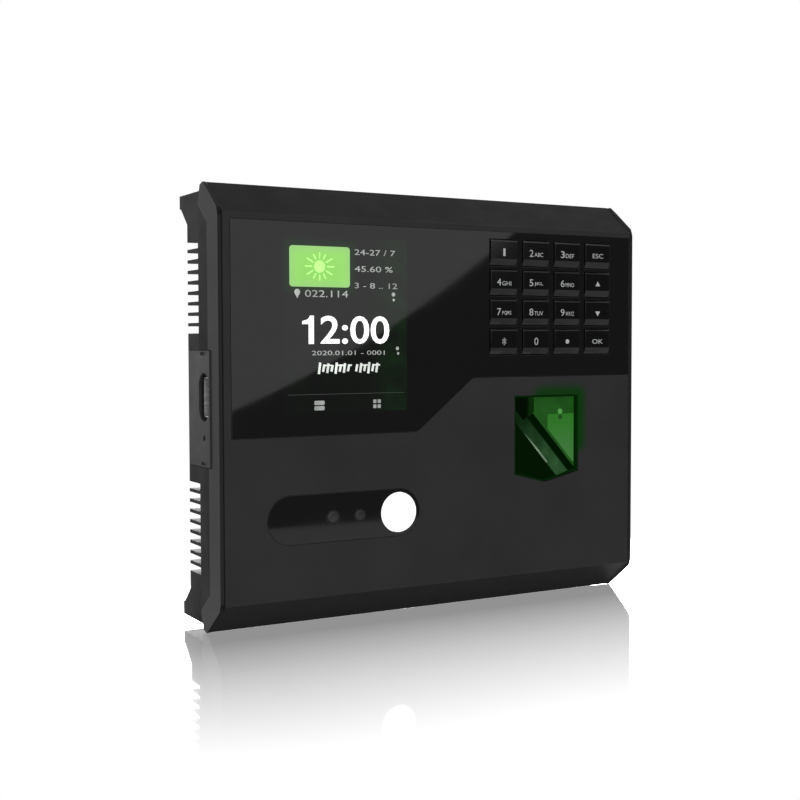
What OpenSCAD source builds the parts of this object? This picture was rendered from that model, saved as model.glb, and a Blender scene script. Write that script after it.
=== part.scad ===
// Wall-mounted fingerprint and face terminal.
// Millimetres. +X is right as seen from the front, +Y runs into the wall, +Z is up.
// The origin is the centre of the wall plate's rear face, so the whole terminal lies at negative Y.

/* [Body] */
// Width over the side walls
body_w = 171.8; // [165:0.2:210]
// Height over the top and bottom walls
body_h = 148.8; // [146:0.2:180]
// Depth from the wall to the flat front
body_d = 34; // [34:0.5:42]
// Thickness of the housing walls
wall = 2.4; // [2:0.1:2.6]
// Height taken by the sloping band at the top and at the bottom
slope_h = 11; // [9:0.5:13]
// Depth over which the bands slope back
slope_d = 14; // [12:0.5:14]
// Depth of the rear housing, from the wall to the split line
rear_d = 18.5; // [18:0.1:18.8]
// Gap between pieces that are fitted into one another
fit_gap = 0.2; // [0.1:0.05:0.3]

/* [Front] */
// Thickness of the front panel
fascia_t = 2.4; // [2.2:0.1:2.6]
// Thickness of the glossy lens and of the camera window
lens_t = 1; // [0.8:0.1:1.2]
// Height of the lens over the display
lens_tall = 70.7; // [66:0.1:74]
// Height of the lens over the keypad
lens_short = 52.2; // [48:0.1:56]
// Width of the visible screen
screen_w = 46; // [40:0.5:48]
// Height of the visible screen
screen_h = 58; // [50:0.5:60]

/* [Keypad] */
// Width of a key
key_w = 11.4; // [9:0.1:12]
// Height of a key
key_h = 9.2; // [7:0.1:9.4]
// Distance between key columns
key_pitch_x = 14.2; // [14:0.1:14.6]
// Distance between key rows
key_pitch_z = 10.7; // [10.7:0.1:11]
// How far a key stands out of the lens
key_proud = 0.7; // [0.4:0.1:1]
// How far a key travels
key_travel = 0.8; // [0.4:0.1:0.8]

/* [Fingerprint sensor] */
// Width of the sensor pocket
sensor_w = 29.2; // [26:0.2:30]
// Height of the sensor pocket at its sides
sensor_h = 28.8; // [26:0.2:30]
// Extra height at the middle of the pocket's pointed lower edge
sensor_point = 3.4; // [1:0.2:4]
// Depth of the pocket under the front face
sensor_depth = 3.2; // [2.5:0.1:3.6]

/* [Face camera] */
// Radius of the window's round ends
camera_r = 8.2; // [7.6:0.1:9]
// Distance between the centres of the round ends
camera_span = 41.2; // [38:0.2:44]
// Radius of the white light diffuser
diffuser_r = 6.8; // [5:0.1:7]

/* [Side] */
// Slots in each group of vents
vent_count = 9; // [5:1:9]
// Distance between vent slots
vent_pitch = 3.5; // [3.2:0.05:3.7]
// Height of one vent slot
vent_h = 2.4; // [1.5:0.1:2.6]
// Height of the side port plate
port_h = 38; // [34:0.5:40]
// Depth of the side port plate
port_d = 19; // [16:0.5:19]

/* [Wall plate] */
// Width of the wall plate
plate_w = 96; // [84:1:100]
// Height of the wall plate
plate_h = 120; // [112:1:126]
// Thickness of the wall plate
plate_t = 1.2; // [1:0.1:1.4]
// Distance between the wall screw holes across the plate
hole_span_x = 70; // [60:1:76]
// Distance between the wall screw holes up the plate
hole_span_z = 80; // [70:1:86]
// Radius of the wall screw holes
hole_r = 2.25; // [1.8:0.05:2.6]

/* [Hidden] */
$fn = 48;
EPS = 0.01;
PAST = 3;

// Planes across the depth of the terminal
front_y = -body_d;
split_y = -rear_d;
slope_y = front_y + slope_d;
fascia_back_y = front_y + fascia_t;
rim_y = front_y + 0.6;
back_y = -0.4;
recess_y = -plate_t - fit_gap;
panel_y = recess_y - 2.2;
lip_y = split_y - 3;
skirt_y = split_y + 11;
board_y = split_y - 0.5;
board_t = 1.6;
board_front_y = board_y - board_t;

// Planes across the height and the width
top_z = body_h / 2;
face_z = top_z - slope_h;
side_x = body_w / 2;
slope_k = slope_h / slope_d;
slope_n = sqrt(1 + slope_k * slope_k);
fascia_x = side_x - 2.5;
rear_x = side_x - 0.4;
rear_z = top_z - 3;
inner_d = fascia_t + fit_gap + 2;
cavity_z = min(top_z - wall - 0.8, slope_z(split_y + PAST, inner_d));
cavity_y = front_y + (cavity_z + inner_d * slope_n - face_z) / slope_k;
lip_z = min(rear_z - 5, slope_z(lip_y, inner_d) - fit_gap);
lip_x = side_x - wall - fit_gap;
box_x = side_x - 12.9;
box_in_x = box_x - 2;

// Bevel of the side walls behind the front rim
bevel_in = 1.1;
bevel_d = 6.6;

// Front layout: lens, screen, keypad, sensor and camera window
lens_left = -side_x + 5.1;
lens_right = side_x - 3.3;
lens_top = face_z - 2;
lens_low_left = lens_top - lens_tall;
lens_low_right = lens_top - lens_short;
lens_step_x = 11.5;
lens_round = 5;
screen_x = lens_left + 41.8;
screen_z = lens_top - 33.8;
key_x0 = lens_right - 58.2;
key_z0 = lens_top - 7.4;
key_space = min(key_pitch_x - key_w, key_pitch_z - key_h);
key_hole_gap = key_space / 6;
key_flange = 0.3 * key_space;
sensor_x = side_x - 41.8;
sensor_top = lens_low_right - 7;
camera_x = lens_left + 61.7;
camera_z = lens_low_left - 27.7;
camera_near_x = camera_x - 15.3;
camera_far_x = camera_x - 25.5;

// Fasteners
corner_x = side_x - 7.9;
corner_z = top_z - 9.4;
screw_r = 1.5;
head_r = 2.8;
head_h = 2;
small_r = 1.1;
small_head_r = 2.1;
small_head_h = 1.3;
boss_r = 2.4;
fascia_screw_z = [-48, -19, 46];
fascia_seat_y = front_y + fascia_t + fit_gap + 4.2;

// Side ports
port_y = split_y + 9;
port_z = 0.2;
port_t = 1;
usb_y = split_y - 5;
usb_z = 4;
usb_w = 13.1;
usb_t = 5.7;
usb_len = 14;
reset_z = -9.4;

// Rear pieces
cable_w = 60;
cable_low = -52;
cable_high = -12;
hook_x = 34;
hook_low_z = -6;
hook_high_z = 22;
tab_z = -plate_h / 2;
speaker_x = box_in_x - 11.2;
speaker_z = 8;
speaker_r = 9.5;

// ---- Building blocks ----

// Box between two limits on each axis
module block(x, y, z) {
  translate([x[0], y[0], z[0]])
    cube([x[1] - x[0], y[1] - y[0], z[1] - z[0]]);
}

// Round rod along the depth
module rod(x, z, y, r) {
  translate([x, y[0], z])
    rotate([-90, 0, 0])
      cylinder(r = r, h = y[1] - y[0]);
}

// Round rod across the width
module cross_rod(y, z, x, r) {
  translate([x[0], y, z])
    rotate([0, 90, 0])
      cylinder(r = r, h = x[1] - x[0]);
}

// Outline in X and Z made solid between two depths
module sheet(y) {
  translate([0, y[1], 0])
    rotate([90, 0, 0])
      linear_extrude(y[1] - y[0])
        children();
}

// Profile in Y and Z made solid across a width centred on the middle
module across(w) {
  translate([-w / 2, 0, 0])
    rotate([90, 0, 90])
      linear_extrude(w)
        children();
}

// Children on the left and, mirrored, on the right
module both_sides() {
  children();
  mirror([1, 0, 0])
    children();
}

// Children at the four corners of a rectangle in X and Z
module at_corners(x, z) {
  for (sx = [-1, 1], sz = [-1, 1])
    translate([sx * x, 0, sz * z])
      children();
}

// Stadium outline: two round ends joined by a straight stretch along X
module stadium(r, span) {
  circle(r);
  translate([-span, 0])
    circle(r);
  translate([-span, -r])
    square([span, 2 * r]);
}

// Height of the surface that lies a given depth behind the upper slope
function slope_z(y, depth) = face_z + (y - front_y) * slope_k - depth * slope_n;

// Points of a profile together with their mirror image below the middle
function closed_profile(half) = concat(
  half,
  [for (i = [len(half) - 1:-1:0]) [half[i][0], -half[i][1]]]
);

// Points along an arc from one angle to another
function arc(cx, cz, r, from, to) = [
  for (i = [0:8]) [cx + r * cos(from + (to - from) * i / 8), cz + r * sin(from + (to - from) * i / 8)]
];

// ---- Front ----

// Outline of the glossy lens, grown by a gap, with its blended step between screen and keypad
module lens_outline(gap) {
  rise = lens_low_right - lens_low_left;
  lean = atan2(rise, 2 * lens_step_x);
  pull = lens_round * tan(lean / 2);
  polygon(concat(
    [[lens_left - gap, lens_top + gap], [lens_left - gap, lens_low_left - gap]],
    arc(-lens_step_x - pull, lens_low_left + lens_round, lens_round + gap, -90, lean - 90),
    arc(lens_step_x + pull, lens_low_right - lens_round, lens_round - gap, lean + 90, 90),
    [[lens_right + gap, lens_low_right - gap], [lens_right + gap, lens_top + gap]]
  ));
}

// All the key openings, grown by a gap, between two depths
module key_openings(y) {
  for (col = [0:3], row = [0:3])
    translate([key_x0 + col * key_pitch_x, 0, key_z0 - row * key_pitch_z])
      block(
        [-key_w / 2 - key_hole_gap, key_w / 2 + key_hole_gap], y,
        [-key_h / 2 - key_hole_gap, key_h / 2 + key_hole_gap]
      );
}

// Pocket outline of the sensor, pointed at the bottom, grown by a gap
module sensor_outline(gap) {
  low = sensor_top - sensor_h;
  polygon([
    [sensor_x - sensor_w / 2 - gap, sensor_top + gap],
    [sensor_x + sensor_w / 2 + gap, sensor_top + gap],
    [sensor_x + sensor_w / 2 + gap, low - gap],
    [sensor_x - 1, low - sensor_point - gap],
    [sensor_x - sensor_w / 2 - gap, low - gap]
  ]);
}

// Space between the bevels of the side walls, the bevel being level with a surface at zero depth
module between_bevels() {
  polygon([
    [-side_x + bevel_in, 0],
    [side_x - bevel_in, 0],
    [side_x, bevel_d],
    [side_x, 2 * body_h],
    [-side_x, 2 * body_h],
    [-side_x, bevel_d]
  ]);
}

// The same space, following the sloping band at the top or, mirrored, at the bottom
module between_slope_bevels() {
  translate([0, front_y, face_z])
    rotate([-atan2(slope_d, slope_h), 0, 0])
      translate([0, -0.4, 0])
        linear_extrude(2 * body_h, center = true)
          between_bevels();
}

// Side frame of the front: cheeks, top and bottom walls and the ledge that the fascia seats on
module front_housing() {
  ledge = fascia_t + fit_gap;
  color("#2b2c2d")
    difference() {
      union() {
        intersection() {
          across(body_w + PAST)
            polygon(closed_profile([
              [rim_y, face_z - 1],
              [rim_y + 1.2, face_z + 2.4],
              [slope_y - 0.4, top_z],
              [split_y, top_z - 0.8]
            ]));
          translate([0, rim_y, 0])
            linear_extrude(body_h + PAST, center = true)
              between_bevels();
          between_slope_bevels();
          mirror([0, 0, 1])
            between_slope_bevels();
        }
      }
      across(2 * (fascia_x + fit_gap))
        polygon(closed_profile([
          [front_y - PAST, top_z + PAST],
          [slope_y + fit_gap, top_z + PAST],
          [slope_y + fit_gap, slope_z(slope_y + fit_gap, ledge)],
          [front_y + ledge, slope_z(front_y + ledge, ledge)]
        ]));
      difference() {
        across(2 * (side_x - wall))
          polygon(closed_profile([
            [front_y + inner_d, slope_z(front_y + inner_d, inner_d)],
            [min(cavity_y, split_y + PAST - EPS), cavity_z],
            [split_y + PAST, cavity_z]
          ]));
        at_corners(corner_x, corner_z)
          rod(0, 0, [front_y + ledge, lip_y - fit_gap], 4.2);
        fascia_screw_places()
          block([-3, 4], [front_y + ledge, fascia_seat_y], [-3.8, 3.8]);
      }
      block(
        [-fascia_x + 5, fascia_x - 5], [front_y, front_y + inner_d + PAST],
        [-face_z + 3.4, face_z - 3.4]
      );
      at_corners(corner_x, corner_z)
        rod(0, 0, [lip_y - 4.2, split_y], screw_r + 0.02);
      fascia_screw_places() {
        rod(0, 0, [front_y, front_y + inner_d], boss_r + fit_gap);
        rod(0, 0, [front_y, fascia_seat_y + 1], small_r + 0.1);
      }
      usb_opening([-side_x - PAST, -side_x + wall + PAST]);
      cross_rod(usb_y, reset_z, [-side_x - PAST, -side_x + wall + PAST], 0.9);
      port_recess();
    }
}

// Six screws along the ledge hold the fascia, clear of the side ports
module fascia_screw_places() {
  both_sides()
    for (z = fascia_screw_z)
      translate([fascia_x - 3.9, 0, z])
        children();
}

// Front panel with its sloping bands, lens recess, screen window and openings
module fascia() {
  seat_y = front_y + lens_t + 0.1;
  color("#333435")
    difference() {
      union() {
        across(2 * fascia_x)
          polygon(closed_profile([
            [fascia_back_y, slope_z(fascia_back_y, fascia_t)],
            [slope_y, slope_z(slope_y, fascia_t)],
            [slope_y, top_z],
            [front_y, face_z]
          ]));
        fascia_screw_places()
          rod(0, 0, [fascia_back_y - EPS, fascia_seat_y - 2.4], boss_r);
      }
      sheet([front_y - PAST, seat_y])
        lens_outline(fit_gap / 2);
      block(
        [screen_x - screen_w / 2, screen_x + screen_w / 2], [front_y, fascia_back_y + PAST],
        [screen_z - screen_h / 2, screen_z + screen_h / 2]
      );
      key_openings([front_y, fascia_back_y + PAST]);
      sheet([front_y - PAST, fascia_back_y + PAST])
        sensor_outline(0);
      sheet([front_y - PAST, seat_y])
        translate([camera_x, camera_z])
          stadium(camera_r + fit_gap / 2, camera_span);
      rod(camera_x, camera_z, [front_y, fascia_back_y + PAST], diffuser_r + fit_gap);
      rod(camera_near_x, camera_z, [front_y, fascia_back_y + PAST], 3.4);
      rod(camera_far_x, camera_z, [front_y, fascia_back_y + PAST], 3.4);
      fascia_screw_places()
        rod(0, 0, [fascia_back_y - 0.9, fascia_seat_y], small_r + 0.02);
    }
}

// Glossy lens over the screen, the keypad's openings cut through it
module front_lens() {
  color("#0c0c0d")
    difference() {
      sheet([front_y, front_y + lens_t])
        lens_outline(0);
      key_openings([front_y - PAST, front_y + lens_t + PAST]);
    }
}

// One key: a cap with a sloping lower facet, a flange behind the fascia and a nub
module key(col, row) {
  cap_y = front_y - key_proud;
  flange_y = fascia_back_y + fit_gap;
  low = -key_h / 2;
  color("#161617")
    translate([key_x0 + col * key_pitch_x, 0, key_z0 - row * key_pitch_z])
      union() {
        across(key_w)
          polygon([
            [front_y - 0.2, key_h / 2],
            [cap_y, key_h / 2 - 0.5],
            [cap_y, low + 2.4],
            [front_y + 0.3, low],
            [flange_y + EPS, low],
            [flange_y + EPS, key_h / 2]
          ]);
        block(
          [-key_w / 2 - key_flange, key_w / 2 + key_flange], [flange_y, flange_y + 0.8],
          [-key_h / 2 - key_flange, key_h / 2 + key_flange]
        );
        rod(0, 0, [flange_y + 0.8 - EPS, flange_y + 1.5], 1.5);
      }
}

keypad_x = key_x0 + 1.5 * key_pitch_x;
keypad_z = key_z0 - 1.5 * key_pitch_z;
dome_top_y = fascia_back_y + fit_gap + 1.5 + key_travel + 0.15;
keypad_y = dome_top_y + 0.4;
keypad_half_w = 1.5 * key_pitch_x + 7.3;
keypad_half_h = 1.5 * key_pitch_z + 6.45;

// Circuit board behind the keys
module keypad_board() {
  color("#1d5a34")
    block(
      [keypad_x - keypad_half_w, keypad_x + keypad_half_w], [keypad_y, keypad_y + 1.2],
      [keypad_z - keypad_half_h, keypad_z + keypad_half_h]
    );
}

// Places of the sixteen domes
module dome_places() {
  for (col = [0:3], row = [0:3])
    translate([key_x0 + col * key_pitch_x, 0, key_z0 - row * key_pitch_z])
      children();
}

// Snap domes, one behind each key's nub
module keypad_domes() {
  color("#b9bcc0")
    dome_places()
      rod(0, 0, [dome_top_y, keypad_y], 2.5);
}

// Thin sheet that holds the domes on the board
module keypad_dome_sheet() {
  color("#d8d8d2")
    difference() {
      block(
        [keypad_x - keypad_half_w + 1, keypad_x + keypad_half_w - 1], [keypad_y - 0.2, keypad_y],
        [keypad_z - keypad_half_h + 1, keypad_z + keypad_half_h - 1]
      );
      dome_places()
        rod(0, 0, [keypad_y - 1, keypad_y + 1], 2.65);
    }
}

// ---- Display ----

display_y = fascia_back_y + fit_gap;
display_w = screen_w + 4.6;
display_h = screen_h + 9.4;
display_low = screen_z - screen_h / 2 - 6.8;

// Glass of the liquid crystal display
module display_panel() {
  color("#10161a")
    block(
      [screen_x - display_w / 2, screen_x + display_w / 2], [display_y, display_y + 1.3],
      [display_low, display_low + display_h]
    );
}

// Pressed metal tray with the backlight, behind the glass
module display_frame() {
  color("#c9cbcd")
    difference() {
      block(
        [screen_x - display_w / 2 - 0.6, screen_x + display_w / 2 + 0.6],
        [display_y + 0.6, display_y + 2.6],
        [display_low - 0.6, display_low + display_h + 0.6]
      );
      block(
        [screen_x - display_w / 2 - 0.05, screen_x + display_w / 2 + 0.05],
        [display_y, display_y + 1.35],
        [display_low - 0.05, display_low + display_h + 0.05]
      );
    }
}

// Flexible circuit that folds from the display back to the main board
module display_flex() {
  top = display_low - 0.6;
  color("#b06a1e")
    union() {
      block([screen_x - 9, screen_x + 9], [display_y + 2.6, display_y + 2.8], [top + 1, top + 8]);
      block([screen_x - 9, screen_x + 9], [display_y + 2.6, board_front_y], [top + 0.8, top + 1]);
    }
}

// ---- Fingerprint sensor ----

sensor_floor_y = front_y + sensor_depth;
sensor_left = sensor_x - sensor_w / 2;
sensor_right = sensor_x + sensor_w / 2;
sensor_low = sensor_top - sensor_h;
tub_wall = 0.5;

// Angle and ends of the prism's diagonal, from the upper left to the lower right of the pocket
prism_from = [sensor_left + 3.2, sensor_top];
prism_to = [sensor_right - 1.2, sensor_low + 1.6];
prism_lean = atan2(prism_to[1] - prism_from[1], prism_to[0] - prism_from[0]);

// Tub that holds the prism: a floor and a collar behind the fascia
module sensor_bezel() {
  color("#141415")
    difference() {
      union() {
        sheet([front_y + 0.3, sensor_floor_y + 4.5])
          sensor_outline(-fit_gap);
        sheet([fascia_back_y + fit_gap, sensor_floor_y + 4.5])
          sensor_outline(2);
      }
      sheet([front_y - PAST, sensor_floor_y])
        sensor_outline(-fit_gap - tub_wall);
      block(
        [sensor_x - 8, sensor_x + 8], [sensor_floor_y - 1, sensor_floor_y + 5],
        [sensor_low + 6, sensor_low + 22]
      );
    }
}

// Cross-section of the prism bar along the pocket's diagonal, swept and trimmed to the pocket
module on_diagonal(near, far, y) {
  intersection() {
    translate([prism_from[0], 0, prism_from[1]])
      rotate([0, -prism_lean, 0])
        block([-30, 70], y, [near, far]);
    sheet([y[0] - 1, y[1] + 1])
      sensor_outline(-fit_gap - tub_wall - 0.1);
  }
}

// Lit green window in the upper right half of the pocket
module sensor_light() {
  color("#2f9a3a")
    on_diagonal(0.1, 40, [sensor_floor_y - 1.2, sensor_floor_y - EPS]);
}

// Glass prism over the lower left half, its ridge along the diagonal
module sensor_prism() {
  color("#5f7a66")
    intersection() {
      translate([prism_from[0], 0, prism_from[1]])
        rotate([0, -prism_lean, 0])
          translate([-30, 0, 0])
            rotate([90, 0, 90])
              linear_extrude(100)
                polygon([
                  [sensor_floor_y - EPS, -5],
                  [sensor_floor_y - 1.7, -4.6],
                  [sensor_floor_y - 2.6, -8],
                  [sensor_floor_y - 2.2, -9],
                  [sensor_floor_y - 0.6, -26],
                  [sensor_floor_y - EPS, -26]
                ]);
      sheet([front_y - 1, sensor_floor_y + 1])
        sensor_outline(-fit_gap - tub_wall - 0.1);
    }
}

// Dark bar between the lit window and the prism
module sensor_shield() {
  color("#0a0d0a")
    on_diagonal(-4.5, 0, [sensor_floor_y - 1.6, sensor_floor_y - EPS]);
}

// Image module behind the sensor's floor
module sensor_camera() {
  color("#1b1c1f")
    union() {
      rod(sensor_x, sensor_low + 14, [sensor_floor_y + 0.3, sensor_floor_y + 5], 4);
      block(
        [sensor_x - 5.5, sensor_x + 5.5], [sensor_floor_y + 4.6, sensor_floor_y + 5.4],
        [sensor_low + 8.5, sensor_low + 19.5]
      );
    }
}

// Circuit board of the sensor
module sensor_board() {
  color("#1d5a34")
    block(
      [sensor_x - 14, sensor_x + 14], [sensor_floor_y + 5.4, sensor_floor_y + 6.4],
      [sensor_low + 1, sensor_low + 27]
    );
}

// ---- Face camera ----

// Glossy stadium window with a round opening for the diffuser
module camera_window() {
  color("#0c0c0d")
    difference() {
      sheet([front_y, front_y + lens_t])
        translate([camera_x, camera_z])
          stadium(camera_r, camera_span);
      rod(camera_x, camera_z, [front_y - 1, front_y + PAST], diffuser_r + fit_gap);
    }
}

// White domed diffuser of the face light
module light_diffuser() {
  rise = 0.9;
  dome_r = (diffuser_r * diffuser_r + rise * rise) / (2 * rise);
  color("#f2f2f0")
    translate([camera_x, front_y, camera_z])
      rotate([90, 0, 0])
        union() {
          intersection() {
            translate([0, 0, rise - dome_r])
              sphere(dome_r, $fn = 160);
            cylinder(r = diffuser_r, h = 2);
          }
          translate([0, 0, -fascia_t])
            cylinder(r = diffuser_r, h = fascia_t + EPS);
          translate([0, 0, -fascia_t - fit_gap - 1])
            cylinder(r = diffuser_r + 1.2, h = 1 + EPS);
          translate([0, 0, -fascia_t - fit_gap - EPS])
            cylinder(r = diffuser_r, h = fit_gap + 2 * EPS);
        }
}

camera_board_y = fascia_back_y + 5.6;

// Light-emitting module behind the diffuser
module light_emitter() {
  color("#e8e3c4")
    rod(camera_x, camera_z, [camera_board_y - 2, camera_board_y], 5);
}

// Camera module: a square base with a round barrel that reaches to the window
module camera_module(x, r) {
  color("#17181a")
    union() {
      rod(x, camera_z, [front_y + lens_t + 0.3, camera_board_y - 2], r);
      block([x - 4, x + 4], [camera_board_y - 2.4, camera_board_y], [camera_z - 4, camera_z + 4]);
    }
}

// Circuit board that carries both cameras and the light
module camera_board() {
  color("#1d5a34")
    block(
      [camera_x - 36, camera_x + 9], [camera_board_y, camera_board_y + 1.2],
      [camera_z - 9, camera_z + 9]
    );
}

// ---- Side ports ----

// Opening of the socket in the side wall
module usb_opening(x) {
  gap = 2 * fit_gap;
  block(
    x, [usb_y - usb_t / 2 - gap, usb_y + usb_t / 2 + gap],
    [usb_z - usb_w / 2 - gap, usb_z + usb_w / 2 + gap]
  );
}

// Shallow recess for the port plate, across both housings
module port_recess() {
  block(
    [-side_x - PAST, -side_x + port_t - 0.3 + 0.02],
    [port_y - port_d - fit_gap, port_y + fit_gap],
    [port_z - port_h / 2 - fit_gap, port_z + port_h / 2 + fit_gap]
  );
}

// Port plate with a flared opening for the socket and a pinhole for the reset button
module side_port_plate() {
  r = usb_t / 2 + 1.6;
  half = usb_w / 2 + 1.4 - r;
  out_x = -side_x - 0.3;
  color("#4a4b4e")
    difference() {
      block(
        [out_x, out_x + port_t], [port_y - port_d, port_y],
        [port_z - port_h / 2, port_z + port_h / 2]
      );
      cross_rod(usb_y, usb_z - half, [out_x - 1, out_x + port_t + 1], r);
      cross_rod(usb_y, usb_z + half, [out_x - 1, out_x + port_t + 1], r);
      block([out_x - 1, out_x + port_t + 1], [usb_y - r, usb_y + r], [usb_z - half, usb_z + half]);
      cross_rod(usb_y, reset_z, [out_x - 1, out_x + port_t + 1], 0.9);
      for (z = [-1, 1])
        translate([out_x, usb_y + 0.5, port_z + z * (port_h / 2 - 1)])
          block([-1, 0.6], [-2.5, 2.5], [-0.5, 0.5]);
    }
}

usb_front_x = -side_x + 0.9;

// Metal shell of the type A socket, open towards the side
module usb_socket() {
  skin = 0.35;
  color("#c7cacd")
    difference() {
      block(
        [usb_front_x, usb_front_x + usb_len], [usb_y - usb_t / 2, usb_y + usb_t / 2],
        [usb_z - usb_w / 2, usb_z + usb_w / 2]
      );
      block(
        [usb_front_x - 1, usb_front_x + usb_len - skin],
        [usb_y - usb_t / 2 + skin, usb_y + usb_t / 2 - skin],
        [usb_z - usb_w / 2 + skin, usb_z + usb_w / 2 - skin]
      );
    }
}

// Plastic tongue inside the socket, with its block at the rear
module usb_tongue() {
  color("#f0f0ee")
    union() {
      block(
        [usb_front_x + 1, usb_front_x + usb_len - 2], [usb_y - 2.1, usb_y - 0.2],
        [usb_z - 5.55, usb_z + 5.55]
      );
      block(
        [usb_front_x + usb_len - 2.4, usb_front_x + usb_len - 0.35], [usb_y - 2.5, usb_y + 2.5],
        [usb_z - 6.2, usb_z + 6.2]
      );
    }
}

// Four spring contacts on the tongue
module usb_contacts() {
  color("#d9a441")
    for (z = [-3.5, -1, 1, 3.5])
      block(
        [usb_front_x + 2, usb_front_x + usb_len - 2.4], [usb_y - 0.2, usb_y + 0.05],
        [usb_z + z - 0.5, usb_z + z + 0.5]
      );
}

reset_x = -side_x + 8;

// Side-actuated switch behind the pinhole
module reset_switch() {
  color("#222326")
    difference() {
      block(
        [reset_x, reset_x + 3.6], [usb_y - 2, board_front_y],
        [reset_z - 3, reset_z + 3]
      );
      cross_rod(usb_y, reset_z, [reset_x - 1, reset_x + 1.6], 1.1);
    }
}

// Actuator of the reset switch
module reset_plunger() {
  color("#dcdcd8")
    cross_rod(usb_y, reset_z, [reset_x - 1.4, reset_x + 1.2], 1);
}

// ---- Rear ----

// Groups of round-ended vent slots through the side skirts, open at the rear edge
module vent_slots() {
  first_z = port_z + port_h / 2 + 6.9;
  for (side = [-1, 1], i = [0:vent_count - 1])
    translate([0, 0, side * (first_z + i * vent_pitch)])
      union() {
        cross_rod(split_y - 0.6 + vent_h / 2, 0, [-side_x - PAST, -box_x - 7], vent_h / 2);
        block(
          [-side_x - PAST, -box_x - 7], [split_y - 0.6 + vent_h / 2, PAST],
          [-vent_h / 2, vent_h / 2]
        );
      }
}

// Rear shell: corner blocks, vented side skirts, the inner box and the recess for cables
module rear_housing() {
  channel_low = port_z + port_h / 2 + 4;
  channel_high = top_z - 13.6;
  color("#26272a")
    difference() {
      union() {
        difference() {
          union() {
            block([-rear_x, rear_x], [split_y, back_y], [-rear_z, rear_z]);
            block([-lip_x, lip_x], [lip_y, split_y + EPS], [-lip_z, lip_z]);
          }
          block([-box_in_x, box_in_x], [lip_y - PAST, panel_y], [-rear_z + 2.2, rear_z - 2.2]);
          both_sides()
            rear_side_cuts(channel_low, channel_high);
        }
        cable_recess_walls();
        standoffs();
        block([-5, 5], [tab_screw_y - 4, tab_screw_y + 4], [-rear_z + 2, -rear_z + 4.4]);
      }
      block([-plate_w / 2 - 1, plate_w / 2 + 1], [recess_y, PAST], [-plate_h / 2 - 1, plate_h / 2 + 1]);
      cable_recess_space();
      hook_slots();
      housing_screw_holes();
      plate_screw_hole();
      speaker_grille();
      port_recess();
      standoff_holes();
      rod(tamper_x, tamper_z, [panel_y - PAST, PAST], tamper_r + 0.25);
    }
}

// Cuts on one side: two open channels behind the vents, the set-back rear edge and the port pocket
module rear_side_cuts(low, high) {
  skin = 3.4;
  for (z = [1, -1])
    scale([1, 1, z])
      block([-rear_x + skin, -box_x], [split_y + 0.1, PAST], [low, high]);
  vent_slots();
  translate([-(side_x + box_x) / 2, 0, 0])
    across(side_x - box_x + EPS)
      polygon(closed_profile([
        [skirt_y, top_z - 13.1],
        [skirt_y + 6, top_z - 7.4],
        [PAST, top_z - 7.4]
      ]));
  block([-lip_x + 0.8, -box_in_x + EPS], [lip_y - PAST, skirt_y - 2], [-19, 19.2]);
  block([-lip_x - PAST, -box_in_x + EPS], [lip_y - PAST, split_y], [-19, 19.2]);
}

// Walls around the cable recess
module cable_recess_walls() {
  block(
    [-cable_w / 2 - 1.6, cable_w / 2 + 1.6], [board_y + 0.4, panel_y + EPS],
    [cable_low - 1.6, cable_high + 1.6]
  );
}

// Space inside the cable recess, and the holes in its upper wall for the connectors
module cable_recess_space() {
  block([-cable_w / 2, cable_w / 2], [board_y + 2, PAST], [cable_low, cable_high]);
  block(
    [jack_x - jack_w / 2 - fit_gap, jack_x + jack_w / 2 + fit_gap],
    [board_y, board_y + jack_h + fit_gap], [cable_high - 1 - fit_gap, cable_high + PAST]
  );
  block(
    [terminal_x - terminal_w / 2 - fit_gap, terminal_x + terminal_w / 2 + fit_gap],
    [board_y, board_y + terminal_h + fit_gap], [cable_high - 1 - fit_gap, cable_high + PAST]
  );
}

board_w = 130;
board_low = -55;
board_high = 58;
standoff_x = board_w / 2 - 6;
standoff_z = [board_low + 6, board_high - 6];

// Children at the four standoffs
module standoff_places() {
  for (x = [-standoff_x, standoff_x], z = standoff_z)
    translate([x, 0, z])
      children();
}

// Posts that carry the main board
module standoffs() {
  standoff_places()
    rod(0, 0, [board_y, panel_y + EPS], 3.2);
}

// Holes for the board screws
module standoff_holes() {
  standoff_places()
    rod(0, 0, [board_y - 1, board_y + 6], small_r + 0.02);
}

// Slots that take the wall plate's hooks
module hook_slots() {
  for (x = [-hook_x, hook_x], z = [hook_low_z, hook_high_z])
    translate([x, 0, z])
      block([-5.5, 5.5], [panel_y - 1, PAST], [-1, 6]);
  block([-7, 7], [panel_y - 1, PAST], [tab_z - 1.5, tab_z + 3]);
}

// Deep holes for the corner screws
module housing_screw_holes() {
  at_corners(corner_x, corner_z) {
    rod(0, 0, [lip_y - 1, PAST], screw_r + 0.25);
    rod(0, 0, [screw_seat_y, PAST], head_r + 0.5);
  }
}

screw_seat_y = split_y + 8.5;

// Hole in the bottom wall for the wall plate's security screw
module plate_screw_hole() {
  translate([0, tab_screw_y, -rear_z - 1])
    cylinder(r = screw_r + 0.25, h = 8);
  translate([0, tab_screw_y, -rear_z - 1])
    cylinder(r = head_r + 0.3, h = 2.9);
}

tab_screw_y = -8;

// Sound slots behind the speaker
module speaker_grille() {
  for (i = [-2:2])
    block(
      [speaker_x - 6, speaker_x + 6], [panel_y - 1, PAST],
      [speaker_z + i * 2.6 - 0.6, speaker_z + i * 2.6 + 0.6]
    );
}

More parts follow.
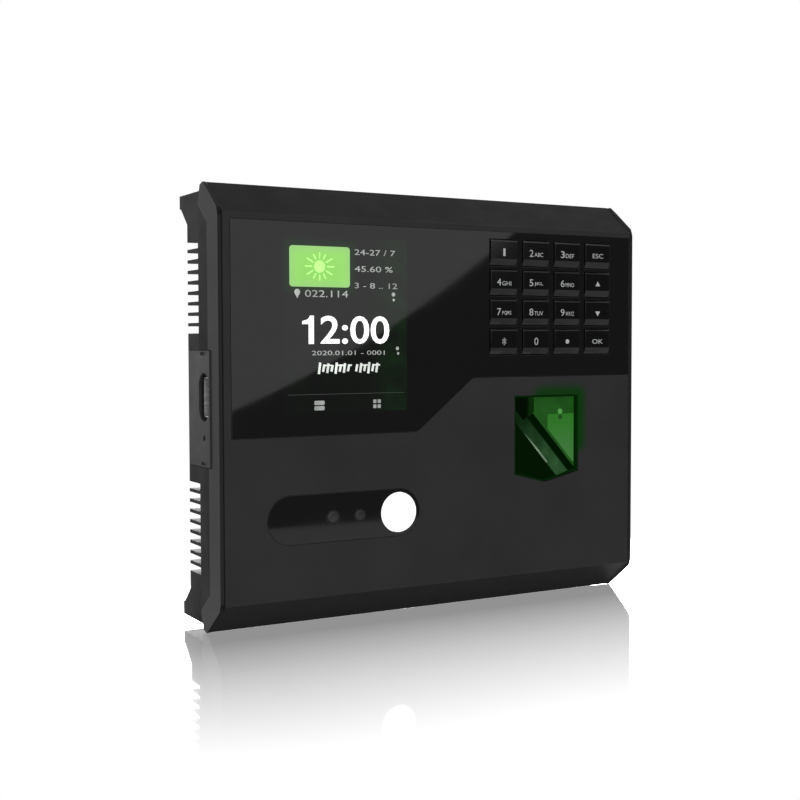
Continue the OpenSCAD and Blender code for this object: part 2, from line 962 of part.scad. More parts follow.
// Four screws from the rear through the corner blocks into the front housing
module housing_screws() {
  color("#8d9094")
    at_corners(corner_x, corner_z)
      difference() {
        union() {
          rod(0, 0, [lip_y - 4, screw_seat_y + EPS], screw_r);
          rod(0, 0, [screw_seat_y, screw_seat_y + head_h], head_r);
        }
        block([-0.5, 0.5], [screw_seat_y + head_h - 0.9, screw_seat_y + head_h + 1], [-1.9, 1.9]);
        block([-1.9, 1.9], [screw_seat_y + head_h - 0.9, screw_seat_y + head_h + 1], [-0.5, 0.5]);
      }
}

// Six small screws from inside through the ledge into the fascia
module fascia_screws() {
  color("#8d9094")
    fascia_screw_places()
      union() {
        rod(0, 0, [fascia_back_y - 0.7, fascia_seat_y + EPS], small_r);
        rod(0, 0, [fascia_seat_y, fascia_seat_y + small_head_h], small_head_r);
      }
}

// ---- Inside the rear housing ----

// Main circuit board, with a tab that carries the side ports
module main_board() {
  color("#1a5230")
    difference() {
      union() {
        block([-board_w / 2, board_w / 2], [board_front_y, board_y], [board_low, board_high]);
        block([-side_x + 4, -board_w / 2 + EPS], [board_front_y, board_y], [-15, 15]);
      }
      standoff_places()
        rod(0, 0, [board_front_y - 1, board_y + 1], small_r + 0.15);
    }
}

// Four screws that hold the main board on its posts
module board_screws() {
  color("#b8a25a")
    standoff_places()
      union() {
        rod(0, 0, [board_front_y - EPS, board_y + 5], small_r);
        rod(0, 0, [board_front_y - small_head_h, board_front_y], small_head_r);
      }
}

// Processor, memory and power chips on the front of the main board
module main_chips() {
  color("#202124")
    union() {
      block([-8, 8], [board_front_y - 1.4, board_front_y], [10, 26]);
      block([-26, -14], [board_front_y - 1.1, board_front_y], [10, 18]);
      block([-26, -14], [board_front_y - 1.1, board_front_y], [21, 29]);
      block([-4, 6], [board_front_y - 1.6, board_front_y], [-12, -2]);
      block([-18, -10], [board_front_y - 2.4, board_front_y], [-50, -42]);
    }
}

cell_x = 45;
cell_z = -36;

// Spring holder of the backup cell, on the rear face of the main board
module coin_cell_holder() {
  color("#3a3c40")
    difference() {
      rod(cell_x, cell_z, [board_y, board_y + 5], 11.6);
      rod(cell_x, cell_z, [board_y + 1, board_y + 6], 10.2);
    }
}

// Backup cell of the clock
module coin_cell() {
  color("#cfd2d4")
    rod(cell_x, cell_z, [board_y + 1, board_y + 4.2], 10);
}

jack_x = 14;
jack_w = 16;
jack_h = 13;
terminal_x = -12;
terminal_w = 26;
terminal_h = 9;

// Network socket, its mouth facing down into the cable recess
module ethernet_jack() {
  color("#b9bcc0")
    difference() {
      block(
        [jack_x - jack_w / 2, jack_x + jack_w / 2], [board_y, board_y + jack_h],
        [cable_high - 1, cable_high + 20]
      );
      block([jack_x - 5.9, jack_x + 5.9], [board_y + 3, board_y + 10.5], [cable_high - 2, cable_high + 13]);
      block([jack_x - 3, jack_x + 3], [board_y + 1.4, board_y + 4], [cable_high - 2, cable_high + 9]);
    }
}

// Pluggable terminal block for power, lock and reader wires, facing down
module terminal_block() {
  ways = 6;
  pitch = terminal_w / ways;
  color("#3f8f4e")
    difference() {
      block(
        [terminal_x - terminal_w / 2, terminal_x + terminal_w / 2], [board_y, board_y + terminal_h],
        [cable_high - 1, cable_high + 9]
      );
      for (i = [0:ways - 1])
        translate([terminal_x - terminal_w / 2 + pitch * (i + 0.5), 0, 0])
          block([-1.5, 1.5], [board_y + 2.5, board_y + 6.5], [cable_high - 2, cable_high + 6]);
    }
}

// Loudspeaker against the rear panel
module speaker() {
  color("#2e2f33")
    union() {
      rod(speaker_x, speaker_z, [panel_y - 1.6, panel_y - 0.1], speaker_r);
      rod(speaker_x, speaker_z, [panel_y - 5, panel_y - 1.5], 6.5);
    }
}

tamper_x = -44;
tamper_z = 48;
tamper_r = 2;
tamper_travel = 0.5;

// Tamper switch on the rear face of the main board
module tamper_switch() {
  color("#222326")
    difference() {
      block(
        [tamper_x - 3, tamper_x + 3], [board_y, board_y + 4],
        [tamper_z - 3, tamper_z + 3]
      );
      rod(tamper_x, tamper_z, [board_y + 1, board_y + 5], tamper_r + 0.1);
    }
}

// Plunger that the wall plate holds in while the terminal hangs on the wall
module tamper_plunger() {
  color("#dcdcd8")
    rod(tamper_x, tamper_z, [board_y + 1 + tamper_travel + 0.1, -plate_t], tamper_r);
}

// Flexible ribbons from the keypad, sensor and camera boards to the main board
module flex_ribbons() {
  color("#b06a1e")
    union() {
      ribbon(keypad_x, keypad_z - 15, keypad_y + 1.2);
      ribbon(sensor_x - 8, sensor_low + 4, sensor_floor_y + 6.4);
      ribbon(camera_x - 12, camera_z - 6, camera_board_y + 1.2);
    }
}

// One straight flexible ribbon between a small board and the main board
module ribbon(x, z, y) {
  block([x - 5, x + 5], [y, board_front_y], [z - 0.15, z + 0.15]);
}

// ---- Wall plate ----

// Pressed steel plate: four wall screw holes, a cable window, hooks and a screw tab
module wall_plate() {
  color("#9a9da0")
    difference() {
      union() {
        block([-plate_w / 2, plate_w / 2], [-plate_t, 0], [-plate_h / 2, plate_h / 2]);
        for (x = [-hook_x, hook_x], z = [hook_low_z, hook_high_z])
          translate([x, 0, z])
            plate_hook();
        block([-6, 6], [tab_screw_y - 4, 0], [tab_z, tab_z + 1.2]);
      }
      block([-cable_w / 2 + 2, cable_w / 2 - 2], [-PAST, PAST], [cable_low + 2, cable_high - 2]);
      at_corners(hole_span_x / 2, hole_span_z / 2)
        rod(0, 0, [-PAST, PAST], hole_r);
      translate([0, tab_screw_y, tab_z - 1])
        cylinder(r = screw_r + 0.02, h = 4);
    }
}

// Hook that is bent forward out of the plate and up behind the rear panel
module plate_hook() {
  block([-4.5, 4.5], [panel_y - 1.8, EPS - plate_t], [0, 1.2]);
  block([-4.5, 4.5], [panel_y - 1.8, panel_y - 0.6], [0, 5]);
}

// Security screw from below, through the bottom wall into the plate's tab
module wall_plate_screw() {
  head_z = -rear_z + 1.9;
  color("#8d9094")
    difference() {
      translate([0, tab_screw_y, 0])
        union() {
          translate([0, 0, head_z - 1.8])
            cylinder(r = head_r, h = 1.8);
          translate([0, 0, head_z - EPS])
            cylinder(r = screw_r, h = tab_z + 3 - head_z);
        }
      translate([0, tab_screw_y, head_z - 2.8])
        cylinder(r = 1.2, h = 2.2, $fn = 6);
    }
}

front_housing();
fascia();
front_lens();
rear_housing();
wall_plate();
wall_plate_screw();
housing_screws();
fascia_screws();
side_port_plate();
usb_socket();
usb_tongue();
usb_contacts();
key(0, 0);  // key_1
key(1, 0);  // key_2
key(2, 0);  // key_3
key(3, 0);  // key_escape
key(0, 1);  // key_4
key(1, 1);  // key_5
key(2, 1);  // key_6
key(3, 1);  // key_up
key(0, 2);  // key_7
key(1, 2);  // key_8
key(2, 2);  // key_9
key(3, 2);  // key_down
key(0, 3);  // key_menu
key(1, 3);  // key_0
key(2, 3);  // key_dot
key(3, 3);  // key_ok
keypad_board();
keypad_domes();
keypad_dome_sheet();
display_panel();
display_frame();
display_flex();
sensor_bezel();
sensor_light();
sensor_prism();
sensor_shield();
sensor_camera();
sensor_board();
camera_window();
light_diffuser();
light_emitter();
camera_module(camera_near_x, 3);  // camera_visible
camera_module(camera_far_x, 3);  // camera_infrared
camera_board();
main_board();
main_chips();
coin_cell();
coin_cell_holder();
ethernet_jack();
terminal_block();
speaker();
reset_switch();
reset_plunger();
tamper_switch();
tamper_plunger();
board_screws();
flex_ribbons();
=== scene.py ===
"""Looks of a wall-mounted access terminal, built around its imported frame.

Every piece is in metres in the frame's own axes: X to the right, Y into the wall, Z up.
"""
import math

import bmesh
import bpy
import numpy as np
from mathutils import Matrix, Vector


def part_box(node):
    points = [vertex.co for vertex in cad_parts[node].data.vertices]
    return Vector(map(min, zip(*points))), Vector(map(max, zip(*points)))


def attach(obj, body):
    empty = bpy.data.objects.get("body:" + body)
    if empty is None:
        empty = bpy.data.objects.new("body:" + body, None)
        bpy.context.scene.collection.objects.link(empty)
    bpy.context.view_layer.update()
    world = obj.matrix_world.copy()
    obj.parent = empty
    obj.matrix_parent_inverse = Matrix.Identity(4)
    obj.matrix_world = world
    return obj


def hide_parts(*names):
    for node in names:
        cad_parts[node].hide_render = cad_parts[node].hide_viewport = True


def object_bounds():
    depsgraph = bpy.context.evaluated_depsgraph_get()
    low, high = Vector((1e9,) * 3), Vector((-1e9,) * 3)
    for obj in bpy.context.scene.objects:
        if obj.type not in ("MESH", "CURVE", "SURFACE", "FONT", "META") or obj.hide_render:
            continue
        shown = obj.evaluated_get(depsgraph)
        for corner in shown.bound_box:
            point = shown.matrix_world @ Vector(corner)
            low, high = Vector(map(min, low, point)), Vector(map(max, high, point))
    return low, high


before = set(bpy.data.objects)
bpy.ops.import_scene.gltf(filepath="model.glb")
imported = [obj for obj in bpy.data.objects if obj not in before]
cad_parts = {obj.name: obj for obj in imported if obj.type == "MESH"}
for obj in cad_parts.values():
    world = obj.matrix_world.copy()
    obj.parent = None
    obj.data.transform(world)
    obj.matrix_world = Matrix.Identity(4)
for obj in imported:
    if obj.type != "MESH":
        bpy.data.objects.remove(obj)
cad_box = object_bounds()

MM = 0.001
TERMINAL = "terminal"
scene = bpy.context.scene

# ---- Sizes taken from the frame ----

lens_low, lens_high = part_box("front_lens")
panel_low, panel_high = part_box("display_panel")
sensor_low, sensor_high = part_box("sensor_light")
tub_low, tub_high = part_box("sensor_bezel")
prism_low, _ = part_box("sensor_prism")
housing_low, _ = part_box("front_housing")
fascia_low, fascia_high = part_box("fascia")
body_low, body_high = cad_box

FACE_Y = lens_low.y

# Thickness of a printed or raised mark
SKIN = 0.03 * MM

# The fascia slopes back by this height and depth at its top and at its foot
SLOPE_RISE = 11.0 * MM
SLOPE_RUN = 14.0 * MM

# The glass reaches behind the fascia by these margins, so the lit screen is smaller
SCREEN_SIDE = 2.3 * MM
SCREEN_HEAD = 2.6 * MM
SCREEN_FOOT = 6.8 * MM
SCREEN_LEFT = panel_low.x + SCREEN_SIDE
SCREEN_RIGHT = panel_high.x - SCREEN_SIDE
SCREEN_TOP = panel_high.z - SCREEN_HEAD
SCREEN_LOW = panel_low.z + SCREEN_FOOT

# ---- Finishes ----

UNLIT = (0.0, 0.0, 0.0)
LENS_BLACK = (0.0122, 0.0122, 0.0124)


class Pattern:
    """A node tree, with the steps that work out a pattern from the coordinates it starts from."""

    def __init__(self, tree, start="Object"):
        self.nodes = tree.nodes
        self.links = tree.links
        self.place = self.nodes.new("ShaderNodeTexCoord").outputs[start]

    def stretched(self, x, y, z):
        """The piece's coordinates, scaled along each axis."""
        mapping = self.nodes.new("ShaderNodeMapping")
        mapping.inputs["Scale"].default_value = (x, y, z)
        self.links.new(self.place, mapping.inputs["Vector"])
        return mapping.outputs["Vector"]

    def noise(self, scale, detail=3.0, vector=None):
        """Cloudy pattern with a given number of cells per metre."""
        node = self.nodes.new("ShaderNodeTexNoise")
        node.inputs["Scale"].default_value = scale
        node.inputs["Detail"].default_value = detail
        self.links.new(vector or self.place, node.inputs["Vector"])
        return node.outputs["Fac"]

    def cells(self, scale, vector=None):
        """Distance pattern of scattered cells."""
        node = self.nodes.new("ShaderNodeTexVoronoi")
        node.inputs["Scale"].default_value = scale
        self.links.new(vector or self.place, node.inputs["Vector"])
        return node.outputs["Distance"]

    def patches(self, scale, detail, low, high, to_low=0.0, to_high=1.0):
        """Clouds whose values between two levels are carried to a new range."""
        return self.ranged(self.noise(scale, detail), low, high, to_low, to_high)

    def ranged(self, value, low, high, to_low, to_high, smooth=False):
        """A value carried from one range to another, held at its ends."""
        node = self.nodes.new("ShaderNodeMapRange")
        if smooth:
            node.interpolation_type = "SMOOTHSTEP"
        for key, number in (("From Min", low), ("From Max", high), ("To Min", to_low), ("To Max", to_high)):
            node.inputs[key].default_value = number
        self.links.new(value, node.inputs["Value"])
        return node.outputs["Result"]

    def math(self, kind, a, b=None):
        """One arithmetic step on sockets or numbers."""
        node = self.nodes.new("ShaderNodeMath")
        node.operation = kind
        for socket, value in zip(node.inputs, (a, b)):
            if value is None:
                continue
            if isinstance(value, (int, float)):
                socket.default_value = value
            else:
                self.links.new(value, socket)
        return node.outputs["Value"]

    def mix(self, factor, first, second):
        """Colour between two colours or sockets."""
        node = self.nodes.new("ShaderNodeMix")
        node.data_type = "RGBA"
        if isinstance(factor, (int, float)):
            node.inputs[0].default_value = factor
        else:
            self.links.new(factor, node.inputs[0])
        for index, value in ((6, first), (7, second)):
            if isinstance(value, tuple):
                node.inputs[index].default_value = (*value, 1.0)
            else:
                self.links.new(value, node.inputs[index])
        return node.outputs[2]

    def parts_of(self, vector):
        """The X, Y and Z of a vector as three sockets."""
        node = self.nodes.new("ShaderNodeSeparateXYZ")
        self.links.new(vector, node.inputs["Vector"])
        return node.outputs["X"], node.outputs["Y"], node.outputs["Z"]

    def axes(self):
        """The coordinates as three sockets."""
        return self.parts_of(self.place)

    def normal(self):
        """The surface's own normal."""
        return self.nodes.new("ShaderNodeNewGeometry").outputs["Normal"]

    def dot(self, first, second):
        """Dot product of a socket with a direction or another socket."""
        node = self.nodes.new("ShaderNodeVectorMath")
        node.operation = "DOT_PRODUCT"
        self.links.new(first, node.inputs[0])
        if isinstance(second, tuple):
            node.inputs[1].default_value = second
        else:
            self.links.new(second, node.inputs[1])
        return node.outputs["Value"]

    def beyond(self, *spans):
        """Distance outside a rectangle, zero inside it: the length of the overshoots past its two spans."""
        overshoots = []
        for value, first, last in spans:
            offset = self.math("ABSOLUTE", self.math("SUBTRACT", value, (first + last) / 2))
            over = self.math("MAXIMUM", self.math("SUBTRACT", offset, (last - first) / 2), 0.0)
            overshoots.append(self.math("POWER", over, 2.0))
        return self.math("SQRT", self.math("ADD", *overshoots))

    def beyond_box(self, left, right, low, high):
        """Distance outside a rectangle that faces the front."""
        x, _, z = self.axes()
        return self.beyond((x, left, right), (z, low, high))

    def blended(self, factor, first, second):
        """Shader between two shaders."""
        node = self.nodes.new("ShaderNodeMixShader")
        for socket, value in zip(node.inputs, (factor, first, second)):
            self.links.new(value, socket)
        return node.outputs["Shader"]

    def shown(self, shader, kind="ShaderNodeOutputMaterial"):
        """Makes a shader the tree's result."""
        self.links.new(shader, self.nodes.new(kind).inputs["Surface"])


class Finish(Pattern):
    """A piece's material: colour, roughness, edge wear and grain."""

    def __init__(self, name, roughness=0.5, metallic=0.0, specular=0.5):
        self.material = bpy.data.materials.new(name)
        self.material.use_nodes = True
        super().__init__(self.material.node_tree)
        self.shader = self.nodes["Principled BSDF"]
        self.shader.inputs["Roughness"].default_value = roughness
        self.shader.inputs["Metallic"].default_value = metallic
        self.shader.inputs["Specular IOR Level"].default_value = specular

    def rim(self, radius):
        """Mask that is high along sharp edges: how far the rounded normal leans from the true one."""
        bevel = self.nodes.new("ShaderNodeBevel")
        bevel.samples = 4
        bevel.inputs["Radius"].default_value = radius
        return self.ranged(self.dot(bevel.outputs["Normal"], self.normal()), 0.99, 0.8, 0.0, 1.0)

    def base(self):
        """The socket that gives the base colour so far."""
        return self.shader.inputs["Base Color"].links[0].from_socket

    def paint(self, colour):
        """Sets the base colour to a colour or socket."""
        if isinstance(colour, tuple):
            self.shader.inputs["Base Color"].default_value = (*colour, 1.0)
        else:
            self.links.new(colour, self.shader.inputs["Base Color"])
        return self

    def rough(self, socket):
        """Sets the roughness to a socket."""
        self.links.new(socket, self.shader.inputs["Roughness"])
        return self

    def bump(self, height, strength, distance):
        """Raises the surface a little by a height socket."""
        node = self.nodes.new("ShaderNodeBump")
        node.inputs["Strength"].default_value = strength
        node.inputs["Distance"].default_value = distance
        self.links.new(height, node.inputs["Height"])
        self.links.new(node.outputs["Normal"], self.shader.inputs["Normal"])
        return self

    def glow(self, colour, strength):
        """Light given off, with a colour or socket."""
        self.shader.inputs["Emission Strength"].default_value = strength
        if isinstance(colour, tuple):
            self.shader.inputs["Emission Color"].default_value = (*colour, 1.0)
        else:
            self.links.new(colour, self.shader.inputs["Emission Color"])
        return self


def scaled(colour, factor):
    """A colour with each channel times a factor."""
    return tuple(channel * factor for channel in colour)


def moulded(name, colour, roughness, specular=0.4, grain=4200.0, depth=0.02, wear=1.7, rim=0.35):
    """Moulded plastic: fine spark grain, cloudy tone, uneven sheen and polished edges."""
    finish = Finish(name, roughness=roughness, specular=specular)
    cloud = finish.patches(38.0, 4.0, 0.3, 0.7)
    tone = finish.mix(cloud, scaled(colour, 0.88), scaled(colour, 1.1))
    speck = finish.patches(1500.0, 2.0, 0.35, 0.7, 0.0, 0.35)
    tone = finish.mix(speck, tone, scaled(colour, 1.3))
    scuffs = finish.patches(260.0, 3.0, 0.35, 0.65, 0.35, 1.0)
    edge = finish.math("MULTIPLY", finish.rim(rim * MM), scuffs)
    finish.paint(finish.mix(edge, tone, scaled(colour, wear)))
    finish.rough(finish.patches(120.0, 4.0, 0.3, 0.7, roughness - 0.05, roughness + 0.06))
    finish.bump(finish.noise(grain, 2.0), 0.35, depth * MM)
    return finish


def metal(name, colour, roughness, along=(1.0, 1.0, 30.0), rim=0.25):
    """Drawn or pressed metal: brushed streaks, smudges and brighter edges."""
    finish = Finish(name, roughness=roughness, metallic=1.0)
    streaks = finish.noise(160.0, 4.0, finish.stretched(*along))
    tone = finish.mix(finish.ranged(streaks, 0.3, 0.7, 0.0, 1.0), scaled(colour, 0.85), scaled(colour, 1.08))
    smudge = finish.patches(70.0, 4.0, 0.35, 0.7, 0.0, 0.5)
    tone = finish.mix(smudge, tone, scaled(colour, 0.78))
    finish.paint(finish.mix(finish.rim(rim * MM), tone, scaled(colour, 1.2)))
    finish.rough(finish.ranged(streaks, 0.3, 0.7, roughness - 0.07, roughness + 0.1))
    finish.bump(streaks, 0.2, 0.02 * MM)
    return finish


def gloss(name, colour, specular=0.5, roughness=0.035):
    """Polished black: dust specks and faint wipe marks in the sheen, tiny ripple in the surface."""
    finish = Finish(name, roughness=roughness, specular=specular)
    wipes = finish.noise(55.0, 5.0, finish.stretched(1.0, 1.0, 3.0))
    finish.rough(finish.ranged(wipes, 0.35, 0.75, roughness, roughness + 0.04))
    dust = finish.ranged(finish.cells(900.0), 0.0, 0.07, 1.0, 0.0)
    finish.paint(finish.mix(finish.math("MULTIPLY", dust, 0.35), colour, scaled(colour, 3.0)))
    finish.bump(finish.noise(26.0, 1.0), 0.02, 0.05 * MM)
    return finish


def circuit_board(name):
    """Green solder mask over copper tracks, with small vias."""
    finish = Finish(name, roughness=0.38, specular=0.5)
    tracks = finish.nodes.new("ShaderNodeTexBrick")
    tracks.inputs["Scale"].default_value = 190.0
    tracks.inputs["Mortar Size"].default_value = 0.05
    turn = finish.nodes.new("ShaderNodeMapping")
    turn.inputs["Rotation"].default_value = (math.pi / 2, 0.0, 0.0)
    finish.links.new(finish.place, turn.inputs["Vector"])
    finish.links.new(turn.outputs["Vector"], tracks.inputs["Vector"])
    vias = finish.ranged(finish.cells(420.0), 0.1, 0.14, 1.0, 0.0)
    mask = finish.mix(tracks.outputs["Fac"], (0.012, 0.075, 0.028), (0.03, 0.16, 0.05))
    mask = finish.mix(finish.patches(50.0, 3.0, 0.3, 0.7, 0.0, 0.4), mask, (0.008, 0.05, 0.02))
    finish.paint(finish.mix(vias, mask, (0.5, 0.42, 0.2)))
    finish.bump(tracks.outputs["Fac"], 0.2, 0.03 * MM)
    return finish


def lens_finish():
    """Gloss black lens with the screen's dim picture behind it: a dark backdrop, greener at its right, and a
    painted green glow round the card.
    """
    finish = gloss("lens black", LENS_BLACK)
    edge, halo_width = 0.4 * MM, 3.2 * MM
    green_from, green_full = SCREEN_RIGHT - 17 * MM, SCREEN_RIGHT - 5 * MM
    x, _, _ = finish.axes()
    away = finish.beyond_box(SCREEN_LEFT, SCREEN_RIGHT, SCREEN_LOW, SCREEN_TOP)
    inside = finish.ranged(away, 0.0, edge, 1.0, 0.0)
    across = finish.ranged(x, green_from, green_full, 0.2, 1.0, True)
    leaves = finish.patches(150.0, 4.0, 0.35, 0.7, 0.2, 1.0)
    amount = finish.math("MULTIPLY", finish.math("MULTIPLY", inside, across), leaves)
    # Painted glow: a green halo spilt round the lit card.
    halo = finish.ranged(finish.beyond_box(*CARD), 0.0, halo_width, 1.0, 0.0, True)
    picture = finish.mix(amount, UNLIT, (0.001, 0.012, 0.001))
    lit = finish.mix(finish.math("MULTIPLY", halo, 0.85), picture, (0.0, 0.017, 0.0))
    return finish.glow(lit, 1.0)


def fascia_finish():
    """Matt black front: painted shade on the slopes and the right margin, and a painted glow of green light
    spilt round the sensor.
    """
    finish = moulded("fascia black", (0.034, 0.034, 0.0346), 0.52, specular=0.05, wear=1.2)
    x, _, z = finish.axes()
    slope_z = fascia_high.z - SLOPE_RISE
    # Painted shade: the slopes and the strip right of the lens are painted in a deeper black.
    slope_shade = finish.ranged(finish.math("ABSOLUTE", z), slope_z + 0.1 * MM, slope_z + 0.4 * MM, 0.0, 0.6)
    margin = finish.ranged(x, lens_high.x, lens_high.x + 0.3 * MM, 0.0, 0.75)
    painted_shade = finish.math("MAXIMUM", slope_shade, margin)
    finish.paint(finish.mix(painted_shade, finish.base(), (0.008, 0.008, 0.0082)))
    # Painted glow: green light spilt round the sensor, tinting the colour and given off as light.
    left, right = (tub_low.x + tub_high.x) / 2 - 2 * MM, tub_high.x - 3 * MM
    away = finish.beyond_box(left, right, sensor_low.z + 10 * MM, sensor_high.z)
    near = finish.ranged(away, 1.5 * MM, 6.5 * MM, 1.0, 0.0, True)
    finish.paint(finish.mix(near, finish.base(), (0.006, 0.011, 0.006)))
    return finish.glow(finish.mix(near, UNLIT, (0.0, 0.026, 0.0)), 1.0)


def lit_plastic(name, colour, strength, spread=0.15):
    """A lit translucent piece: a base in the light's colour with a slightly uneven glow."""
    finish = Finish(name, roughness=0.35, specular=0.4)
    uneven = finish.patches(180.0, 3.0, 0.3, 0.7)
    shade = finish.mix(uneven, scaled(colour, 1.0 - spread), scaled(colour, 1.0 + spread))
    finish.paint(shade)
    finish.bump(finish.noise(900.0, 2.0), 0.1, 0.02 * MM)
    return finish.glow(shade, strength)


def facet_reflection_mask(finish):
    """Painted reflection: a pale band along the prism's diagonal, streaky and brighter towards its lower
    end.
    """
    inner_edge, outer_edge, soft = 2.7 * MM, 8.0 * MM, 0.6 * MM
    across = finish.dot(finish.place, tuple(DIAGONAL_ACROSS))
    along = finish.dot(finish.place, tuple(DIAGONAL))
    start = DIAGONAL_START.dot(DIAGONAL_ACROSS)
    first = DIAGONAL_START.dot(DIAGONAL)
    inner = finish.ranged(across, start + inner_edge, start + inner_edge + soft, 0.0, 1.0)
    outer = finish.ranged(across, start + outer_edge, start + outer_edge + soft, 1.0, 0.0)
    facet = finish.math("MULTIPLY", inner, outer)
    down = finish.ranged(along, first + 6 * MM, first + 28 * MM, 0.15, 1.0)
    streak = finish.patches(170.0, 4.0, 0.3, 0.7, 0.45, 1.0)
    return finish.math("MULTIPLY", finish.math("MULTIPLY", facet, down), streak)


def sensor_glass(name, dim):
    """Prism glass with a painted green glow: dim where it looks into the tub, with a painted reflection on
    the facet beside the diagonal.
    """
    finish = Finish(name, roughness=0.35, specular=0.0)
    pale = facet_reflection_mask(finish)
    finish.paint(finish.mix(pale, (0.0006, 0.004, 0.0008), (0.02, 0.05, 0.022)))
    return finish.glow(finish.mix(pale, dim, (0.022, 0.072, 0.024)), 1.0)


# ---- Mesh building ----


def new_object(name, mesh, finish, body=TERMINAL, smooth=False):
    """Links a finished mesh as a piece on a body."""
    piece = bpy.data.objects.new(name, mesh)
    scene.collection.objects.link(piece)
    mesh.materials.clear()
    mesh.materials.append(finish.material)
    mesh.polygons.foreach_set("use_smooth", np.full(len(mesh.polygons), smooth))
    if smooth:
        mesh.set_sharp_from_angle(angle=math.radians(35))
    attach(piece, body)
    return piece


def gathered(name, meshes):
    """One mesh from several closed ones, welded, with faces turned outwards."""
    work = bmesh.new()
    for mesh in meshes:
        work.from_mesh(mesh)
        bpy.data.meshes.remove(mesh)
    bmesh.ops.remove_doubles(work, verts=work.verts, dist=1e-7)
    bmesh.ops.recalc_face_normals(work, faces=work.faces)
    whole = bpy.data.meshes.new(name)
    work.to_mesh(whole)
    work.free()
    return whole


def plate(outline, front, back):
    """Closed plate: the outline in X and Z at two depths, joined by one quad for each of its sides."""
    count = len(outline)
    depths = np.repeat([front, back], count)
    points = np.column_stack([np.tile(outline[:, 0], 2), depths, np.tile(outline[:, 1], 2)])
    ring = np.arange(count)
    after = (ring + 1) % count
    sides = np.column_stack([ring, after, after + count, ring + count])
    mesh = bpy.data.meshes.new("plate")
    mesh.from_pydata(points.tolist(), [], [ring.tolist(), (ring[::-1] + count).tolist(), *sides.tolist()])
    return mesh


def full_turn(steps):
    """Angles spread evenly over a whole turn."""
    return np.linspace(0, 2 * math.pi, steps, endpoint=False)


def turned(profile, centre, steps=64):
    """Surface of revolution: a profile of radius and depth carried round a line along Y."""
    profile = np.asarray(profile, float)
    turn = full_turn(steps)
    radius, depth = profile[:, 0, None], profile[:, 1, None]
    x = centre[0] + radius * np.cos(turn)
    z = centre[1] + radius * np.sin(turn)
    y = depth + np.zeros_like(x)
    points = np.stack([x, y, z], axis=-1).reshape(-1, 3)
    row = np.arange(len(profile) - 1)[:, None] * steps
    ring = np.arange(steps)
    after = (ring + 1) % steps
    below = row + steps
    quads = np.stack([row + ring, row + after, below + after, below + ring], axis=-1)
    mesh = bpy.data.meshes.new("turned")
    mesh.from_pydata(points.tolist(), [], quads.reshape(-1, 4).tolist())
    return mesh


def disc_outline(x, z, radius, steps=40):
    """Circle: the centre plus the radius times cosine and sine of the turn."""
    turn = full_turn(steps)
    return np.column_stack([x + radius * np.cos(turn), z + radius * np.sin(turn)])


def rounded_outline(left, right, low, high, radius, steps=6):
    """Rectangle with round corners: each corner's centre plus the radius at angles over its quarter turn."""
    quarter = np.linspace(0, math.pi / 2, steps)
    corners = np.array([(right - radius, high - radius), (left + radius, high - radius),
                        (left + radius, low + radius), (right - radius, low + radius)])
    turn = (quarter[None, :] + np.arange(4)[:, None] * math.pi / 2).reshape(-1)
    arcs = radius * np.column_stack([np.cos(turn), np.sin(turn)])
    return np.repeat(corners, steps, axis=0) + arcs


def bar_outline(x0, z0, x1, z1, width):
    """Straight bar between two points: both ends moved sideways by half the width."""
    start, end = np.array([x0, z0]), np.array([x1, z1])
    way = (end - start) / np.linalg.norm(end - start)
    side = np.array([-way[1], way[0]]) * width / 2
    return np.array([start - side, end - side, end + side, start + side])


def clipped(outline, point, normal):
    """Part of a convex outline on the side of a line that its normal points to, crossings added."""
    reach = (outline - point) @ normal
    after, reach_after = np.roll(outline, -1, axis=0), np.roll(reach, -1)
    cross = (reach > 0) != (reach_after > 0)
    share = np.where(cross, reach / np.where(cross, reach - reach_after, 1.0), 0.0)
    meeting = outline + share[:, None] * (after - outline)
    both = np.stack([outline, meeting], axis=1).reshape(-1, 2)
    keep = np.stack([reach > 0, cross], axis=1).reshape(-1)
    return both[keep]


def lettering(text, left, low, width, height, front, weight=0.0):
    """Raised figures: a font outline made solid, scaled to a width and height, facing the front."""
    curve = bpy.data.curves.new("figures", "FONT")
    curve.body = text
    curve.extrude = 0.5
    curve.offset = weight
    curve.resolution_u = 4
    holder = bpy.data.objects.new("figures", curve)
    scene.collection.objects.link(holder)
    solid = holder.evaluated_get(bpy.context.evaluated_depsgraph_get())
    mesh = bpy.data.meshes.new_from_object(solid)
    bpy.data.objects.remove(holder)
    bpy.data.curves.remove(curve)
    flat = np.zeros(len(mesh.vertices) * 3, np.float32)
    mesh.vertices.foreach_get("co", flat)
    points = flat.reshape(-1, 3)
    first, last = points.min(0), points.max(0)
    unit = (points - first) / (last - first)
    x = left + unit[:, 0] * width
    y = front + (1 - unit[:, 2]) * SKIN
    z = low + unit[:, 1] * height
    mesh.vertices.foreach_set("co", np.column_stack([x, y, z]).astype(np.float32).ravel())
    mesh.update()
    return mesh


